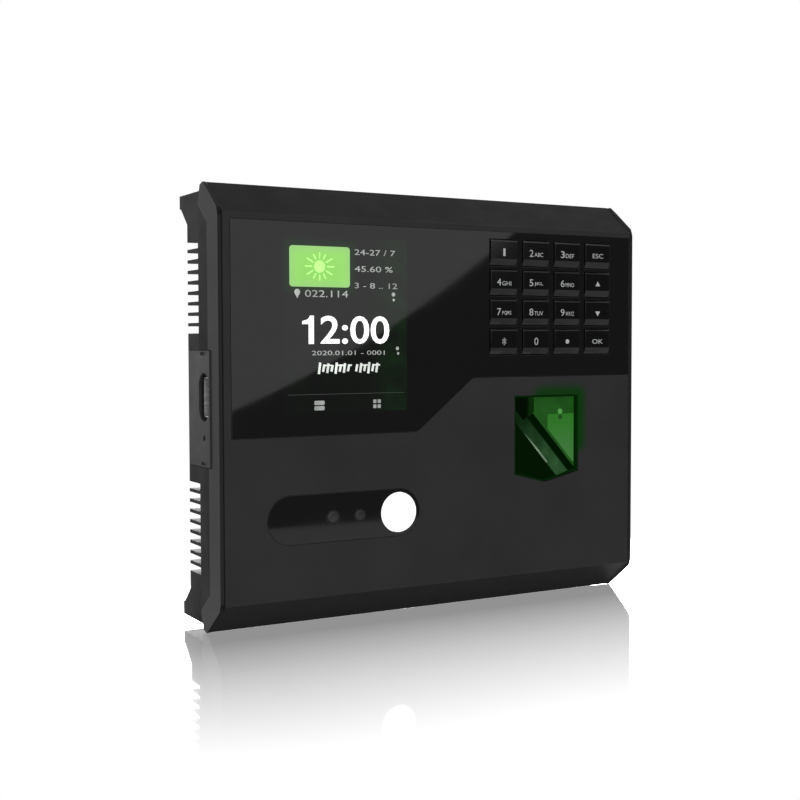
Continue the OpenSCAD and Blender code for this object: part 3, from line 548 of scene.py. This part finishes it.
def rounded_skin(node, width, finish, segments=2, body=TERMINAL, convex=False):
    """Copy of a CAD node with whole faces, or whole convex ones, and rolled edges, which stands for it."""
    work = bmesh.new()
    work.from_mesh(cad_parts[node].data)
    bmesh.ops.remove_doubles(work, verts=work.verts, dist=2e-6)
    bmesh.ops.dissolve_limit(work, angle_limit=math.radians(1.0), verts=work.verts, edges=work.edges)
    if convex:
        bmesh.ops.connect_verts_concave(work, faces=work.faces)
    mesh = bpy.data.meshes.new(node + "_skin")
    work.to_mesh(mesh)
    work.free()
    piece = new_object(node + "_skin", mesh, finish, body, smooth=True)
    bevel = piece.modifiers.new("rolled edges", "BEVEL")
    bevel.width = width
    bevel.segments = segments
    bevel.limit_method = "ANGLE"
    bevel.angle_limit = math.radians(30)
    bevel.harden_normals = True
    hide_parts(node)
    return piece


# ---- Screen ----

# Fronts of the marks that lie on the lens, and of those that lie on these marks
MARK_Y = FACE_Y - SKIN
UPPER_MARK_Y = MARK_Y - SKIN


def on_screen(across, down):
    """Place on the screen, from millimetres right of its left edge and below its top edge."""
    return SCREEN_LEFT + across * MM, SCREEN_TOP - down * MM


def screen_box(left, right, top, foot):
    """Limits of a rectangle on the screen in metres: left, right, low, high."""
    x0, z1 = on_screen(left, top)
    x1, z0 = on_screen(right, foot)
    return x0, x1, z0, z1


CARD = screen_box(1.8, 24.1, 2.9, 16.4)


def screen_text(text, left, right, middle, height, weight=0.0):
    """A line of figures between two places on the screen."""
    x, z = on_screen(left, middle + height / 2)
    return lettering(text, x, z, (right - left) * MM, height * MM, MARK_Y, weight)


def clock_one(left, right, middle, height):
    """Figure one: a straight stem with a flag that runs up to its head from the left."""
    stem, shoulder, flag_low, flag_high = 0.55, 0.87, 0.7, 0.8
    shape = np.array([(0.0, flag_low), (stem, flag_low), (stem, 0.0), (1.0, 0.0),
                      (1.0, 1.0), (0.68, 1.0), (0.5, shoulder), (0.0, flag_high)])
    x, z = on_screen(left, middle + height / 2)
    return screen_plate(np.array([x, z]) + shape * (right - left, height) * MM)


def screen_plate(outline):
    """Thin mark on the lens."""
    return plate(outline, MARK_Y, FACE_Y)


def screen_piece(name, parts, finish):
    """One piece of the screen's picture, gathered from its marks."""
    return new_object(name, gathered(name, parts), finish)


def weather_card():
    """Lit card with round corners."""
    finish = Finish("card green", roughness=0.3, specular=0.3)
    away = finish.beyond_box(*screen_box(5.0, 21.0, 6.0, 13.5))
    middle = finish.ranged(away, 0.0, 4.5 * MM, 1.0, 0.0, True)
    shade = finish.mix(middle, (0.31, 0.56, 0.235), (0.29, 0.68, 0.14))
    shade = finish.mix(finish.patches(120.0, 3.0, 0.3, 0.7, 0.0, 0.3), shade, (0.4, 0.78, 0.2))
    finish.paint((0.02, 0.05, 0.01))
    finish.glow(shade, 1.0)
    corner = 1.1 * MM
    screen_piece("weather_card", [screen_plate(rounded_outline(*CARD, corner))], finish)


def sun_mark():
    """Sun on the card: a ring of small rays, each a bar along its own angle, round a disc."""
    x, z = on_screen(12.8, 9.6)
    disc, ray_start, ray_width = 2.0 * MM, 2.7 * MM, 0.42 * MM
    side_reach, other_reach = 5.4 * MM, 4.6 * MM
    parts = [plate(disc_outline(x, z, disc), UPPER_MARK_Y, MARK_Y)]
    for turn in full_turn(12):
        way = np.array([math.cos(turn), math.sin(turn)])
        reach = side_reach if math.cos(turn) ** 2 > 0.5 else other_reach
        ray = bar_outline(*((x, z) + way * ray_start), *((x, z) + way * reach), ray_width)
        parts.append(plate(ray, UPPER_MARK_Y, MARK_Y))
    screen_piece("sun_mark", parts, lit_plastic("sun mark", (0.37, 0.8, 0.19), 1.0, 0.08))


def pin_outline(x, z, size):
    """Map pin: a circle whose lower half is drawn down to a point."""
    turn = full_turn(36)
    fall = np.clip(-np.sin(turn), 0, 1) ** 3
    across = size * np.cos(turn) * (1 - 0.55 * fall)
    up = size * np.sin(turn) * (1 + 0.9 * fall)
    return np.column_stack([x + across, z + up])


def screen_marks():
    """White figures and small marks of the standby screen."""
    clock = [clock_one(6.3, 10.6, 30.6, 9.4), screen_text("2:00", 13.0, 39.2, 30.6, 9.4, 0.012)]
    screen_piece("clock_figures", clock, lit_plastic("screen white", (0.86, 0.88, 0.86), 1.0, 0.06))
    rule = rounded_outline(*screen_box(1.0, 45.0, 52.0, 52.15), 0.05 * MM)
    screen_piece("screen_rule", [screen_plate(rule)], lit_plastic("screen rule", (0.03, 0.035, 0.03), 1.0))
    small = [
        screen_text("24-27 / 7", 25.9, 41.6, 4.4, 1.9),
        screen_text("45.60 %", 25.9, 40.6, 10.0, 1.9),
        screen_text("3 - 8 .. 12", 25.9, 42.4, 15.6, 1.9),
        screen_text("022.114", 7.4, 23.4, 18.6, 2.3),
        screen_text("2020.01.01 - 0001", 9.8, 37.4, 38.3, 1.5),
    ]
    small.append(screen_plate(pin_outline(*on_screen(4.6, 18.2), 1.05 * MM)))
    dots = ((40.9, 18.4, 0.7), (42.4, 36.9, 0.6), (42.7, 38.6, 0.45), (41.0, 20.3, 0.45))
    for across, down, size in dots:
        small.append(screen_plate(disc_outline(*on_screen(across, down), size * MM, 16)))
    screen_piece("screen_figures", small, lit_plastic("screen grey", (0.25, 0.265, 0.25), 1.0, 0.25))
    greeting = lit_plastic("greeting white", (0.5, 0.53, 0.5), 1.0, 0.35)
    screen_piece("screen_greeting", greeting_marks(), greeting)
    buttons = lit_plastic("button grey", (0.2, 0.21, 0.2), 1.0, 0.2)
    screen_piece("screen_buttons", button_marks(), buttons)


def greeting_marks():
    """Bold line of plain strokes, taller and shorter by turns, as a generic greeting."""
    parts = []
    lean, stroke = 0.25 * MM, 0.85 * MM
    start, pitch, word_gap = 12.6, 1.55, 8
    for index in range(15):
        if index == word_gap:
            continue
        rise = (1.9, 1.2, 1.6, 1.1)[index % 4] * MM
        x, z = on_screen(start + index * pitch, 43.4)
        parts.append(screen_plate(bar_outline(x - lean, z - rise, x + lean, z + rise, stroke)))
        if index % 3:
            parts.append(screen_plate(bar_outline(x, z + 1.0 * MM, x + 1.3 * MM, z + 0.9 * MM, 0.5 * MM)))
    return parts


def button_marks():
    """Two touch buttons at the foot of the screen: a list tile and a grid of four."""
    left, right, low, high = screen_box(10.6, 14.4, 54.2, 57.4)
    gap, tile_corner = 0.35 * MM, 0.4 * MM
    middle = (low + high) / 2
    parts = [screen_plate(rounded_outline(left, right, middle + gap / 2, high, tile_corner)),
             screen_plate(rounded_outline(left, right, low, middle - gap / 2, tile_corner))]
    pitch, reach, corner = 1.7, 0.62 * MM, 0.15 * MM
    for row in (0, 1):
        for column in (0, 1):
            x, z = on_screen(33.5 + column * pitch, 54.9 + row * pitch)
            parts.append(screen_plate(rounded_outline(x - reach, x + reach, z - reach, z + reach, corner)))
    return parts


# ---- Keypad ----

LEGENDS = {
    "key_1": ("1", ""), "key_2": ("2", "ABC"), "key_3": ("3", "DEF"), "key_escape": ("", "ESC"),
    "key_4": ("4", "GHI"), "key_5": ("5", "JKL"), "key_6": ("6", "MNO"), "key_up": ("up", ""),
    "key_7": ("7", "PQRS"), "key_8": ("8", "TUV"), "key_9": ("9", "WXYZ"), "key_down": ("down", ""),
    "key_menu": ("*", ""), "key_0": ("0", ""), "key_dot": ("dot", ""), "key_ok": ("", "OK"),
}


def legend_parts(key, figure, word):
    """Solid outlines of one key's legend, centred on the cap's flat above its lower facet."""
    low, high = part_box(key)
    x = (low.x + high.x) / 2
    z = (low.z + high.z) / 2 + 0.1 * MM
    front = low.y - SKIN
    if figure in ("up", "down"):
        across, up = 1.3 * MM, 1.2 * MM
        angles = full_turn(3) + (math.pi / 2 if figure == "up" else -math.pi / 2)
        corners = np.column_stack([x + across * np.cos(angles), z + up * np.sin(angles)])
        return [plate(corners, front, low.y)]
    if figure == "dot":
        radius = 0.85 * MM
        return [plate(disc_outline(x, z, radius), front, low.y)]
    if figure and word:
        return [lettering(figure, x - 3.1 * MM, z - 1.2 * MM, 1.7 * MM, 2.5 * MM, front),
                lettering(word, x - 0.9 * MM, z - 1.15 * MM, 3.9 * MM, 1.5 * MM, front)]
    if word:
        width, height = 5.0 * MM, 1.7 * MM
        return [lettering(word, x - width / 2, z - height / 2, width, height, front)]
    width = (0.95 if figure == "1" else 1.75) * MM
    return [lettering(figure, x - width / 2, z - 1.3 * MM, width, 2.7 * MM, front)]


def keypad():
    """Sixteen gloss caps with printed legends that ride on their own keys."""
    cap = gloss("key black", (0.0085, 0.0085, 0.0087), specular=0.42, roughness=0.12)
    ink = lit_plastic("legend white", (0.24, 0.25, 0.245), 0.85, 0.1)
    for key, (figure, word) in LEGENDS.items():
        rounded_skin(key, 0.15 * MM, cap, body=key)
        mesh = gathered(key + "_legend", legend_parts(key, figure, word))
        new_object(key + "_legend", mesh, ink, body=key)


# ---- Fingerprint sensor ----

# The pocket lies inside the tub's collar, which is 2 mm larger all round
COLLAR = Vector((2.0 * MM, 0.0, 2.0 * MM))
pocket_low, pocket_high = tub_low + COLLAR, tub_high - COLLAR

# The prism's diagonal runs from the pocket's upper left to its lower right
DIAGONAL_DROP = 27.2 * MM
DIAGONAL_START = Vector((pocket_low.x + 3.2 * MM, 0.0, pocket_high.z))
DIAGONAL_END = Vector((pocket_high.x - 1.2 * MM, 0.0, pocket_high.z - DIAGONAL_DROP))
DIAGONAL = (DIAGONAL_END - DIAGONAL_START).normalized()
DIAGONAL_ACROSS = Vector((DIAGONAL.z, 0.0, -DIAGONAL.x))

# The lit panel stands out from the window behind it
PANEL_PROUD = 0.12 * MM


def panel_outline(left, right, low, high):
    """Rectangle with round corners, cut off by a line beside the diagonal."""
    outline = rounded_outline(left, right, low, high, 0.5 * MM)
    start = DIAGONAL_START - DIAGONAL_ACROSS * 1.2 * MM
    return clipped(outline, np.array([start.x, start.z]), -np.array([DIAGONAL_ACROSS.x, DIAGONAL_ACROSS.z]))


def panel_mark(name, x, z, radius, back, finish):
    """Small disc on the lit panel."""
    front = sensor_low.y - PANEL_PROUD - SKIN
    mesh = gathered(name, [plate(disc_outline(x, z, radius, 24), front, back)])
    new_object(name, mesh, finish)


def sensor_panel():
    """Bright lit panel in the upper right of the pocket, with a light spot and a dark screw at its head."""
    right, top = sensor_high.x - 0.1 * MM, sensor_high.z - 6.4 * MM
    width, height = 12.0 * MM, 18.5 * MM
    finish = Finish("panel green", roughness=0.3, specular=0.3)
    _, _, z = finish.axes()
    down = finish.ranged(z, top, top - 17 * MM, 0.0, 1.0, True)
    uneven = finish.patches(140.0, 3.0, 0.3, 0.7, 0.0, 0.35)
    shade = finish.mix(down, (0.022, 0.155, 0.014), (0.05, 0.17, 0.045))
    finish.glow(finish.mix(uneven, shade, (0.03, 0.175, 0.024)), 1.0).paint((0.004, 0.012, 0.004))
    outline = panel_outline(right - width, right, top - height, top)
    front = sensor_low.y - PANEL_PROUD
    mesh = gathered("sensor_panel", [plate(outline, front, sensor_low.y)])
    new_object("sensor_panel", mesh, finish)
    x, spot_z = right - 6.3 * MM, top + 0.9 * MM
    light = lit_plastic("panel spot", (0.05, 0.19, 0.04), 0.85)
    # The dark screw's faint green glow is painted light from the panel.
    dark = Finish("panel screw", roughness=0.4)
    dark.paint((0.002, 0.012, 0.002)).glow((0.004, 0.05, 0.003), 1.0)
    panel_mark("sensor_spot", x, spot_z, 1.0 * MM, sensor_low.y, light)
    panel_mark("sensor_hole", x, spot_z - 2.1 * MM, 0.9 * MM, front, dark)


def shade_block():
    """Black moulding in the pocket's upper left corner, where the dark band along the diagonal starts, with
    a painted green glow on its right part.
    """
    inset, thickness = 0.75 * MM, 0.6 * MM
    left, top = pocket_low.x + inset, pocket_high.z - inset
    corners = np.array([(0.0, 0.0), (8.6, 0.0), (8.9, -0.8), (8.9, -5.2),
                        (7.6, -6.4), (3.4, -8.6), (1.2, -8.2), (0.0, -7.0)])
    outline = np.array([left, top]) + corners[::-1] * MM
    finish = Finish("corner black", roughness=0.8, specular=0.0)
    x, _, _ = finish.axes()
    right = finish.ranged(x, left + 5.4 * MM, left + 7.4 * MM, 0.0, 1.0, True)
    # Painted light: green glow on the block's right part.
    lit = finish.math("MULTIPLY", right, finish.patches(300.0, 3.0, 0.3, 0.7, 0.6, 1.0))
    finish.paint((0.0012, 0.0025, 0.0012))
    finish.glow(finish.mix(lit, (0.0003, 0.0025, 0.0003), (0.004, 0.026, 0.003)), 1.0)
    mesh = gathered("sensor_corner", [plate(outline, sensor_low.y - thickness, sensor_low.y)])
    new_object("sensor_corner", mesh, finish)


def prism_glint():
    """Painted glint on the prism's ridge: a flattened round bead that glows along the ridge, swelling
    towards its lower end.
    """
    steps, sides = 40, 8
    first, length, ridge = 4.5, 23.0, 8.0 * MM
    sunk, flatness = 0.12 * MM, 0.4
    share = np.linspace(0, 1, steps)[:, None]
    turn = full_turn(sides)[None, :]
    along = (first + length * share) * MM
    taper = np.sin(math.pi * np.clip(share * 1.02 + 0.001, 0, 1)) ** 0.25
    radius = (0.2 + 0.34 * share ** 2) * MM * taper
    across = ridge + radius * np.cos(turn)
    start, way, side = np.array(DIAGONAL_START), np.array(DIAGONAL), np.array(DIAGONAL_ACROSS)
    points = start + (along + 0 * across)[..., None] * way + across[..., None] * side
    points[..., 1] = prism_low.y + sunk + flatness * radius * np.sin(turn)
    index = np.arange(steps * sides).reshape(steps, sides)
    after = np.roll(index, -1, 1)
    quads = np.stack([index[:-1], after[:-1], after[1:], index[1:]], -1)
    mesh = bpy.data.meshes.new("bead")
    ends = [index[0][::-1].tolist(), index[-1].tolist()]
    mesh.from_pydata(points.reshape(-1, 3).tolist(), [], quads.reshape(-1, 4).tolist() + ends)
    # The bead's glow is a painted highlight.
    finish = lit_plastic("prism painted glint", (0.1, 0.15, 0.1), 1.0, 0.5)
    new_object("prism_painted_glint", gathered("prism_painted_glint", [mesh]), finish, smooth=True)


# ---- Face camera ----


def camera_eye(name, camera, radius, reflection_glow):
    """Lens seen at the window: a shallow dish, a flat ring and a domed glass, turned as one profile, with a
    painted reflection that is paler and glows towards the middle.
    """
    low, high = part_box(camera)
    centre = ((low.x + high.x) / 2, (low.z + high.z) / 2)
    share = np.linspace(0, 1, 9)
    seat, dome_rise = FACE_Y - 0.05 * MM, 0.25 * MM
    rim = [(radius, FACE_Y), (radius, FACE_Y - 0.06 * MM), (radius * 0.86, FACE_Y - 0.12 * MM),
           (radius * 0.74, seat)]
    quarter = share * math.pi / 2
    dome = np.column_stack([radius * 0.7 * np.cos(quarter), seat - dome_rise * np.sin(quarter)])
    profile = np.vstack([rim, dome, [(0.0, FACE_Y)], [(radius, FACE_Y)]])
    finish = Finish(name + " glass", roughness=0.28, specular=0.45)
    # Painted reflection: paler and glowing towards the middle, with swirls.
    reach = finish.beyond_box(centre[0], centre[0], centre[1], centre[1])
    body = finish.ranged(reach, radius * 0.25, radius, 1.0, 0.0, True)
    reflection_swirl = finish.patches(420.0, 2.0, 0.35, 0.65, 0.5, 1.0)
    finish.paint(finish.mix(body, (0.007, 0.007, 0.007), (0.017, 0.017, 0.018)))
    finish.glow(finish.mix(finish.math("MULTIPLY", body, reflection_swirl), UNLIT, (reflection_glow,) * 3), 1.0)
    mesh = gathered(name, [turned(profile, centre)])
    new_object(name, mesh, finish, smooth=True)


# ---- Materials of the CAD nodes ----


def dress(finish, *nodes):
    """Puts a finish on CAD nodes."""
    for node in nodes:
        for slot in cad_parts[node].material_slots:
            slot.material = finish.material


def node_finishes():
    """Finishes of the parts that keep their CAD shape."""
    dark = moulded("rear black", (0.017, 0.0175, 0.018), 0.5, specular=0.3)
    black = moulded("module black", (0.012, 0.012, 0.013), 0.42, specular=0.4, grain=2600.0)
    white = moulded("white plastic", (0.72, 0.72, 0.7), 0.4, specular=0.45, wear=1.1)
    gold = metal("gold contact", (0.86, 0.6, 0.24), 0.28)
    steel = metal("bright steel", (0.62, 0.63, 0.65), 0.3)
    zinc = metal("zinc plate", (0.56, 0.57, 0.58), 0.42, along=(30.0, 1.0, 1.0))
    screw = metal("screw steel", (0.42, 0.43, 0.45), 0.33, along=(6.0, 6.0, 6.0))
    brass = metal("screw brass", (0.6, 0.48, 0.26), 0.36, along=(6.0, 6.0, 6.0))
    board = circuit_board("solder mask")
    film = moulded("clear film", (0.62, 0.62, 0.58), 0.3, specular=0.5, wear=1.1)
    flex = moulded("flex amber", (0.42, 0.15, 0.03), 0.35, specular=0.5, wear=1.2)
    panel = gloss("screen glass", (0.006, 0.008, 0.01))
    dress(dark, "tamper_switch", "reset_switch", "coin_cell_holder", "speaker")
    dress(black, "main_chips", "camera_visible", "camera_infrared", "sensor_camera")
    dress(white, "usb_tongue", "reset_plunger", "tamper_plunger")
    dress(gold, "usb_contacts")
    dress(steel, "usb_socket", "ethernet_jack", "coin_cell", "keypad_domes", "display_frame")
    dress(zinc, "wall_plate")
    dress(screw, "wall_plate_screw", "housing_screws", "fascia_screws")
    dress(brass, "board_screws")
    dress(board, "main_board", "keypad_board", "sensor_board", "camera_board")
    dress(film, "keypad_dome_sheet")
    dress(flex, "display_flex", "flex_ribbons")
    dress(panel, "display_panel")
    dress(moulded("terminal green", (0.05, 0.3, 0.09), 0.4, specular=0.45), "terminal_block")
    dress(lit_plastic("emitter yellow", (0.8, 0.72, 0.35), 0.2), "light_emitter")
    dress(lit_plastic("diffuser white", (0.93, 0.93, 0.92), 0.9, 0.02), "light_diffuser")
    dress(lit_plastic("window green", (0.006, 0.05, 0.004), 0.85, 0.2), "sensor_light")
    dress(sensor_glass("prism glass", (0.001, 0.005, 0.0005)), "sensor_prism")
    dress(sensor_glass("shield black", (0.0, 0.004, 0.0)), "sensor_shield")


def side_finish():
    """Housing plastic: a painted highlight on the bevel behind the front rim, and a dark painted shade line
    on the rim beside the fascia.
    """
    finish = moulded("side grey", (0.0115, 0.0117, 0.012), 0.52, specular=0.08, wear=1.3)
    _, y, z = finish.axes()
    rim_y = housing_low.y
    steep = math.hypot(SLOPE_RISE, SLOPE_RUN)
    back = finish.math("MULTIPLY", finish.math("SUBTRACT", y, fascia_low.y), SLOPE_RISE / steep)
    above = finish.math("SUBTRACT", finish.math("ABSOLUTE", z), fascia_high.z - SLOPE_RISE)
    under_slope = finish.math("SUBTRACT", back, finish.math("MULTIPLY", above, SLOPE_RUN / steep))
    depth = finish.math("MINIMUM", finish.math("SUBTRACT", y, rim_y), under_slope)
    facing_x, _, _ = finish.parts_of(finish.normal())
    sideways = finish.ranged(finish.math("ABSOLUTE", facing_x), 0.6, 0.85, 0.0, 1.0)
    bevel_width, soft = 6.3 * MM, 0.8 * MM
    on_bevel = finish.ranged(depth, bevel_width, bevel_width + soft, 1.0, 0.0, True)
    bevel = finish.math("MULTIPLY", on_bevel, sideways)
    # Painted highlight: the side-facing bevel behind the rim is painted paler.
    tone = finish.mix(finish.math("MULTIPLY", bevel, 0.8), finish.base(), (0.082, 0.083, 0.084))
    # Painted shade: a dark line on the rim beside the fascia.
    rim_shade_line = finish.ranged(y, rim_y + 0.04 * MM, rim_y + 0.16 * MM, 1.0, 0.0)
    sheen = finish.ranged(y, rim_y + 0.1 * MM, rim_y + 0.5 * MM, 0.0, 0.08)
    finish.links.new(sheen, finish.shader.inputs["Specular IOR Level"])
    return finish.paint(finish.mix(rim_shade_line, tone, (0.03, 0.03, 0.03)))


def skins():
    """Outer mouldings with rolled edges."""
    side = side_finish()
    rear = moulded("rear grey", (0.011, 0.0112, 0.0115), 0.52, specular=0.1, wear=1.3)
    port = moulded("port grey", (0.026, 0.0263, 0.0268), 0.45, specular=0.2, wear=1.3)
    # The tub's faint green glow is painted light from the sensor.
    tub = moulded("tub black", (0.002, 0.005, 0.002), 0.6, specular=0.03).glow((0.0, 0.011, 0.0), 1.0)
    rounded_skin("front_housing", 0.3 * MM, side)
    rounded_skin("fascia", 0.25 * MM, fascia_finish())
    rounded_skin("rear_housing", 0.25 * MM, rear, convex=True)
    rounded_skin("front_lens", 0.12 * MM, lens_finish())
    rounded_skin("camera_window", 0.12 * MM, gloss("window black", LENS_BLACK))
    rounded_skin("side_port_plate", 0.15 * MM, port)
    rounded_skin("sensor_bezel", 0.15 * MM, tub)


# ---- Stage, light and camera ----

YAW = math.radians(29.64)
PITCH = math.radians(2.61)
ROLL = math.radians(-0.13)
EYE = Vector((-0.2313, -0.4078, 0.0215))

# Focal length over the sensor's width
FOCAL = 1.5575

# The lens shows this round soft box as a lit patch with a curved edge
SOFT_BOX_X = -0.2215
SOFT_BOX_Z = 0.594
SOFT_BOX_RADIUS = 0.648


def place_camera():
    """Camera at the eye, turned, tipped and rolled towards the terminal."""
    data = bpy.data.cameras.new("view")
    data.sensor_width = 36.0
    data.lens = FOCAL * data.sensor_width
    data.clip_start = 0.01
    camera = bpy.data.objects.new("view", data)
    yaw = Matrix.Rotation(-YAW, 4, "Z")
    pitch = Matrix.Rotation(math.pi / 2 - PITCH, 4, "X")
    roll = Matrix.Rotation(ROLL, 4, "Z")
    camera.matrix_world = Matrix.Translation(EYE) @ yaw @ pitch @ roll
    scene.collection.objects.link(camera)
    scene.camera = camera


def stage_sheet(name, points, material):
    """Flat sheet through a ring of points."""
    mesh = bpy.data.meshes.new(name)
    mesh.from_pydata([tuple(point) for point in points], [], [list(range(len(points)))])
    mesh.materials.append(material)
    sheet = bpy.data.objects.new(name, mesh)
    scene.collection.objects.link(sheet)
    return sheet


def reflected_sheet(name, outline, y, strength):
    """Upright sheet that shows only in reflections and gives off an even light."""
    points = np.column_stack([outline[:, 0], np.full(len(outline), y), outline[:, 1]])
    material, pattern = bare_material(name + "_light")
    light = pattern.nodes.new("ShaderNodeEmission")
    light.inputs["Strength"].default_value = strength
    pattern.shown(light.outputs["Emission"])
    sheet = stage_sheet(name, points.tolist(), material)
    for kind in ("visible_camera", "visible_diffuse", "visible_shadow", "visible_transmission"):
        setattr(sheet, kind, False)


def bare_material(name):
    """A material without a shader, and the pattern that fills it."""
    material = bpy.data.materials.new(name)
    material.use_nodes = True
    material.node_tree.nodes.clear()
    return material, Pattern(material.node_tree)


def floor_material():
    """Pale floor: even white, and a mirror sheen near the terminal that fades with distance from it."""
    sheen_weight, sheen_reach, bounce = 0.72, 0.11, 0.55
    material, pattern = bare_material("floor white")
    x, y, _ = pattern.axes()
    away = pattern.beyond((x, body_low.x, body_high.x), (y, body_low.y, body_high.y))
    sheen = pattern.ranged(away, 0.0, sheen_reach, sheen_weight, 0.0)
    white = pattern.nodes.new("ShaderNodeEmission")
    seen = pattern.nodes.new("ShaderNodeLightPath").outputs["Is Camera Ray"]
    pattern.links.new(pattern.ranged(seen, 0.0, 1.0, bounce, 1.0), white.inputs["Strength"])
    mirror = pattern.nodes.new("ShaderNodeBsdfGlossy")
    mirror.inputs["Color"].default_value = (1.0, 1.0, 1.0, 1.0)
    mirror.inputs["Roughness"].default_value = 0.04
    pattern.shown(pattern.blended(sheen, white.outputs["Emission"], mirror.outputs["BSDF"]))
    return material


def studio():
    """Floor, with a dark flag and a round soft box, cut to the flag's limits, that the lens reflects."""
    reach, floor_z = 6.0, body_low.z
    corners = [(-reach, -reach, floor_z), (reach, -reach, floor_z),
               (reach, reach, floor_z), (-reach, reach, floor_z)]
    stage_sheet("floor", corners, floor_material())
    left, right, high, flag_y = -0.2, 0.5, 0.3, -0.25
    flag = np.array([(left, floor_z), (right, floor_z), (right, high), (left, high)])
    reflected_sheet("dark_flag", flag, flag_y, 0.0)
    disc = disc_outline(SOFT_BOX_X, SOFT_BOX_Z, SOFT_BOX_RADIUS, 160)
    for point, normal in (((left, 0.0), (1.0, 0.0)), ((0.0, high), (0.0, -1.0))):
        disc = clipped(disc, np.array(point), np.array(normal))
    reflected_sheet("soft_box", disc, flag_y + 1.0 * MM, 0.8)


def world_light():
    """White where it is seen. As light it is white from behind the terminal and dim from elsewhere."""
    dim, bright = 0.17, 1.0
    world = bpy.data.worlds.new("room")
    scene.world = world
    world.use_nodes = True
    world.node_tree.nodes.clear()
    pattern = Pattern(world.node_tree, "Generated")
    behind = pattern.dot(pattern.place, (0.0, 1.0, 0.0))
    lit = pattern.nodes.new("ShaderNodeBackground")
    pattern.links.new(pattern.ranged(behind, 0.3, 0.75, dim, bright), lit.inputs["Strength"])
    seen = pattern.nodes.new("ShaderNodeBackground")
    for background in (lit, seen):
        background.inputs["Color"].default_value = (1.0, 1.0, 1.0, 1.0)
    rays = pattern.nodes.new("ShaderNodeLightPath")
    looked_at = pattern.math("MAXIMUM", rays.outputs["Is Camera Ray"], rays.outputs["Is Glossy Ray"])
    mixed = pattern.blended(looked_at, lit.outputs["Background"], seen.outputs["Background"])
    pattern.shown(mixed, "ShaderNodeOutputWorld")


def soft_light(name, place, size, power):
    """Square soft light that looks at the terminal's middle."""
    data = bpy.data.lights.new(name, "AREA")
    data.size = size
    data.energy = power
    lamp = bpy.data.objects.new(name, data)
    lamp.location = place
    lamp.rotation_euler = (-Vector(place)).to_track_quat("-Z", "Y").to_euler()
    scene.collection.objects.link(lamp)


def lights():
    """Four soft lights: in front at the left, behind at the left, behind, and behind at the right."""
    soft_light("key_light", (-0.45, -1.3, 0.05), 0.6, 9.0)
    soft_light("rim_light", (-0.85, 0.75, 0.1), 0.5, 0.7)
    soft_light("back_light", (0.35, 1.4, 0.6), 0.8, 14.0)
    soft_light("right_light", (1.1, 1.1, 0.35), 0.6, 14.0)


scene.view_settings.view_transform = "Standard"
place_camera()
world_light()
studio()
lights()
node_finishes()
skins()
keypad()
weather_card()
sun_mark()
screen_marks()
sensor_panel()
prism_glint()
shade_block()
camera_eye("camera_eye_right", "camera_visible", 2.3 * MM, 0.01)
camera_eye("camera_eye_left", "camera_infrared", 2.6 * MM, 0.014)
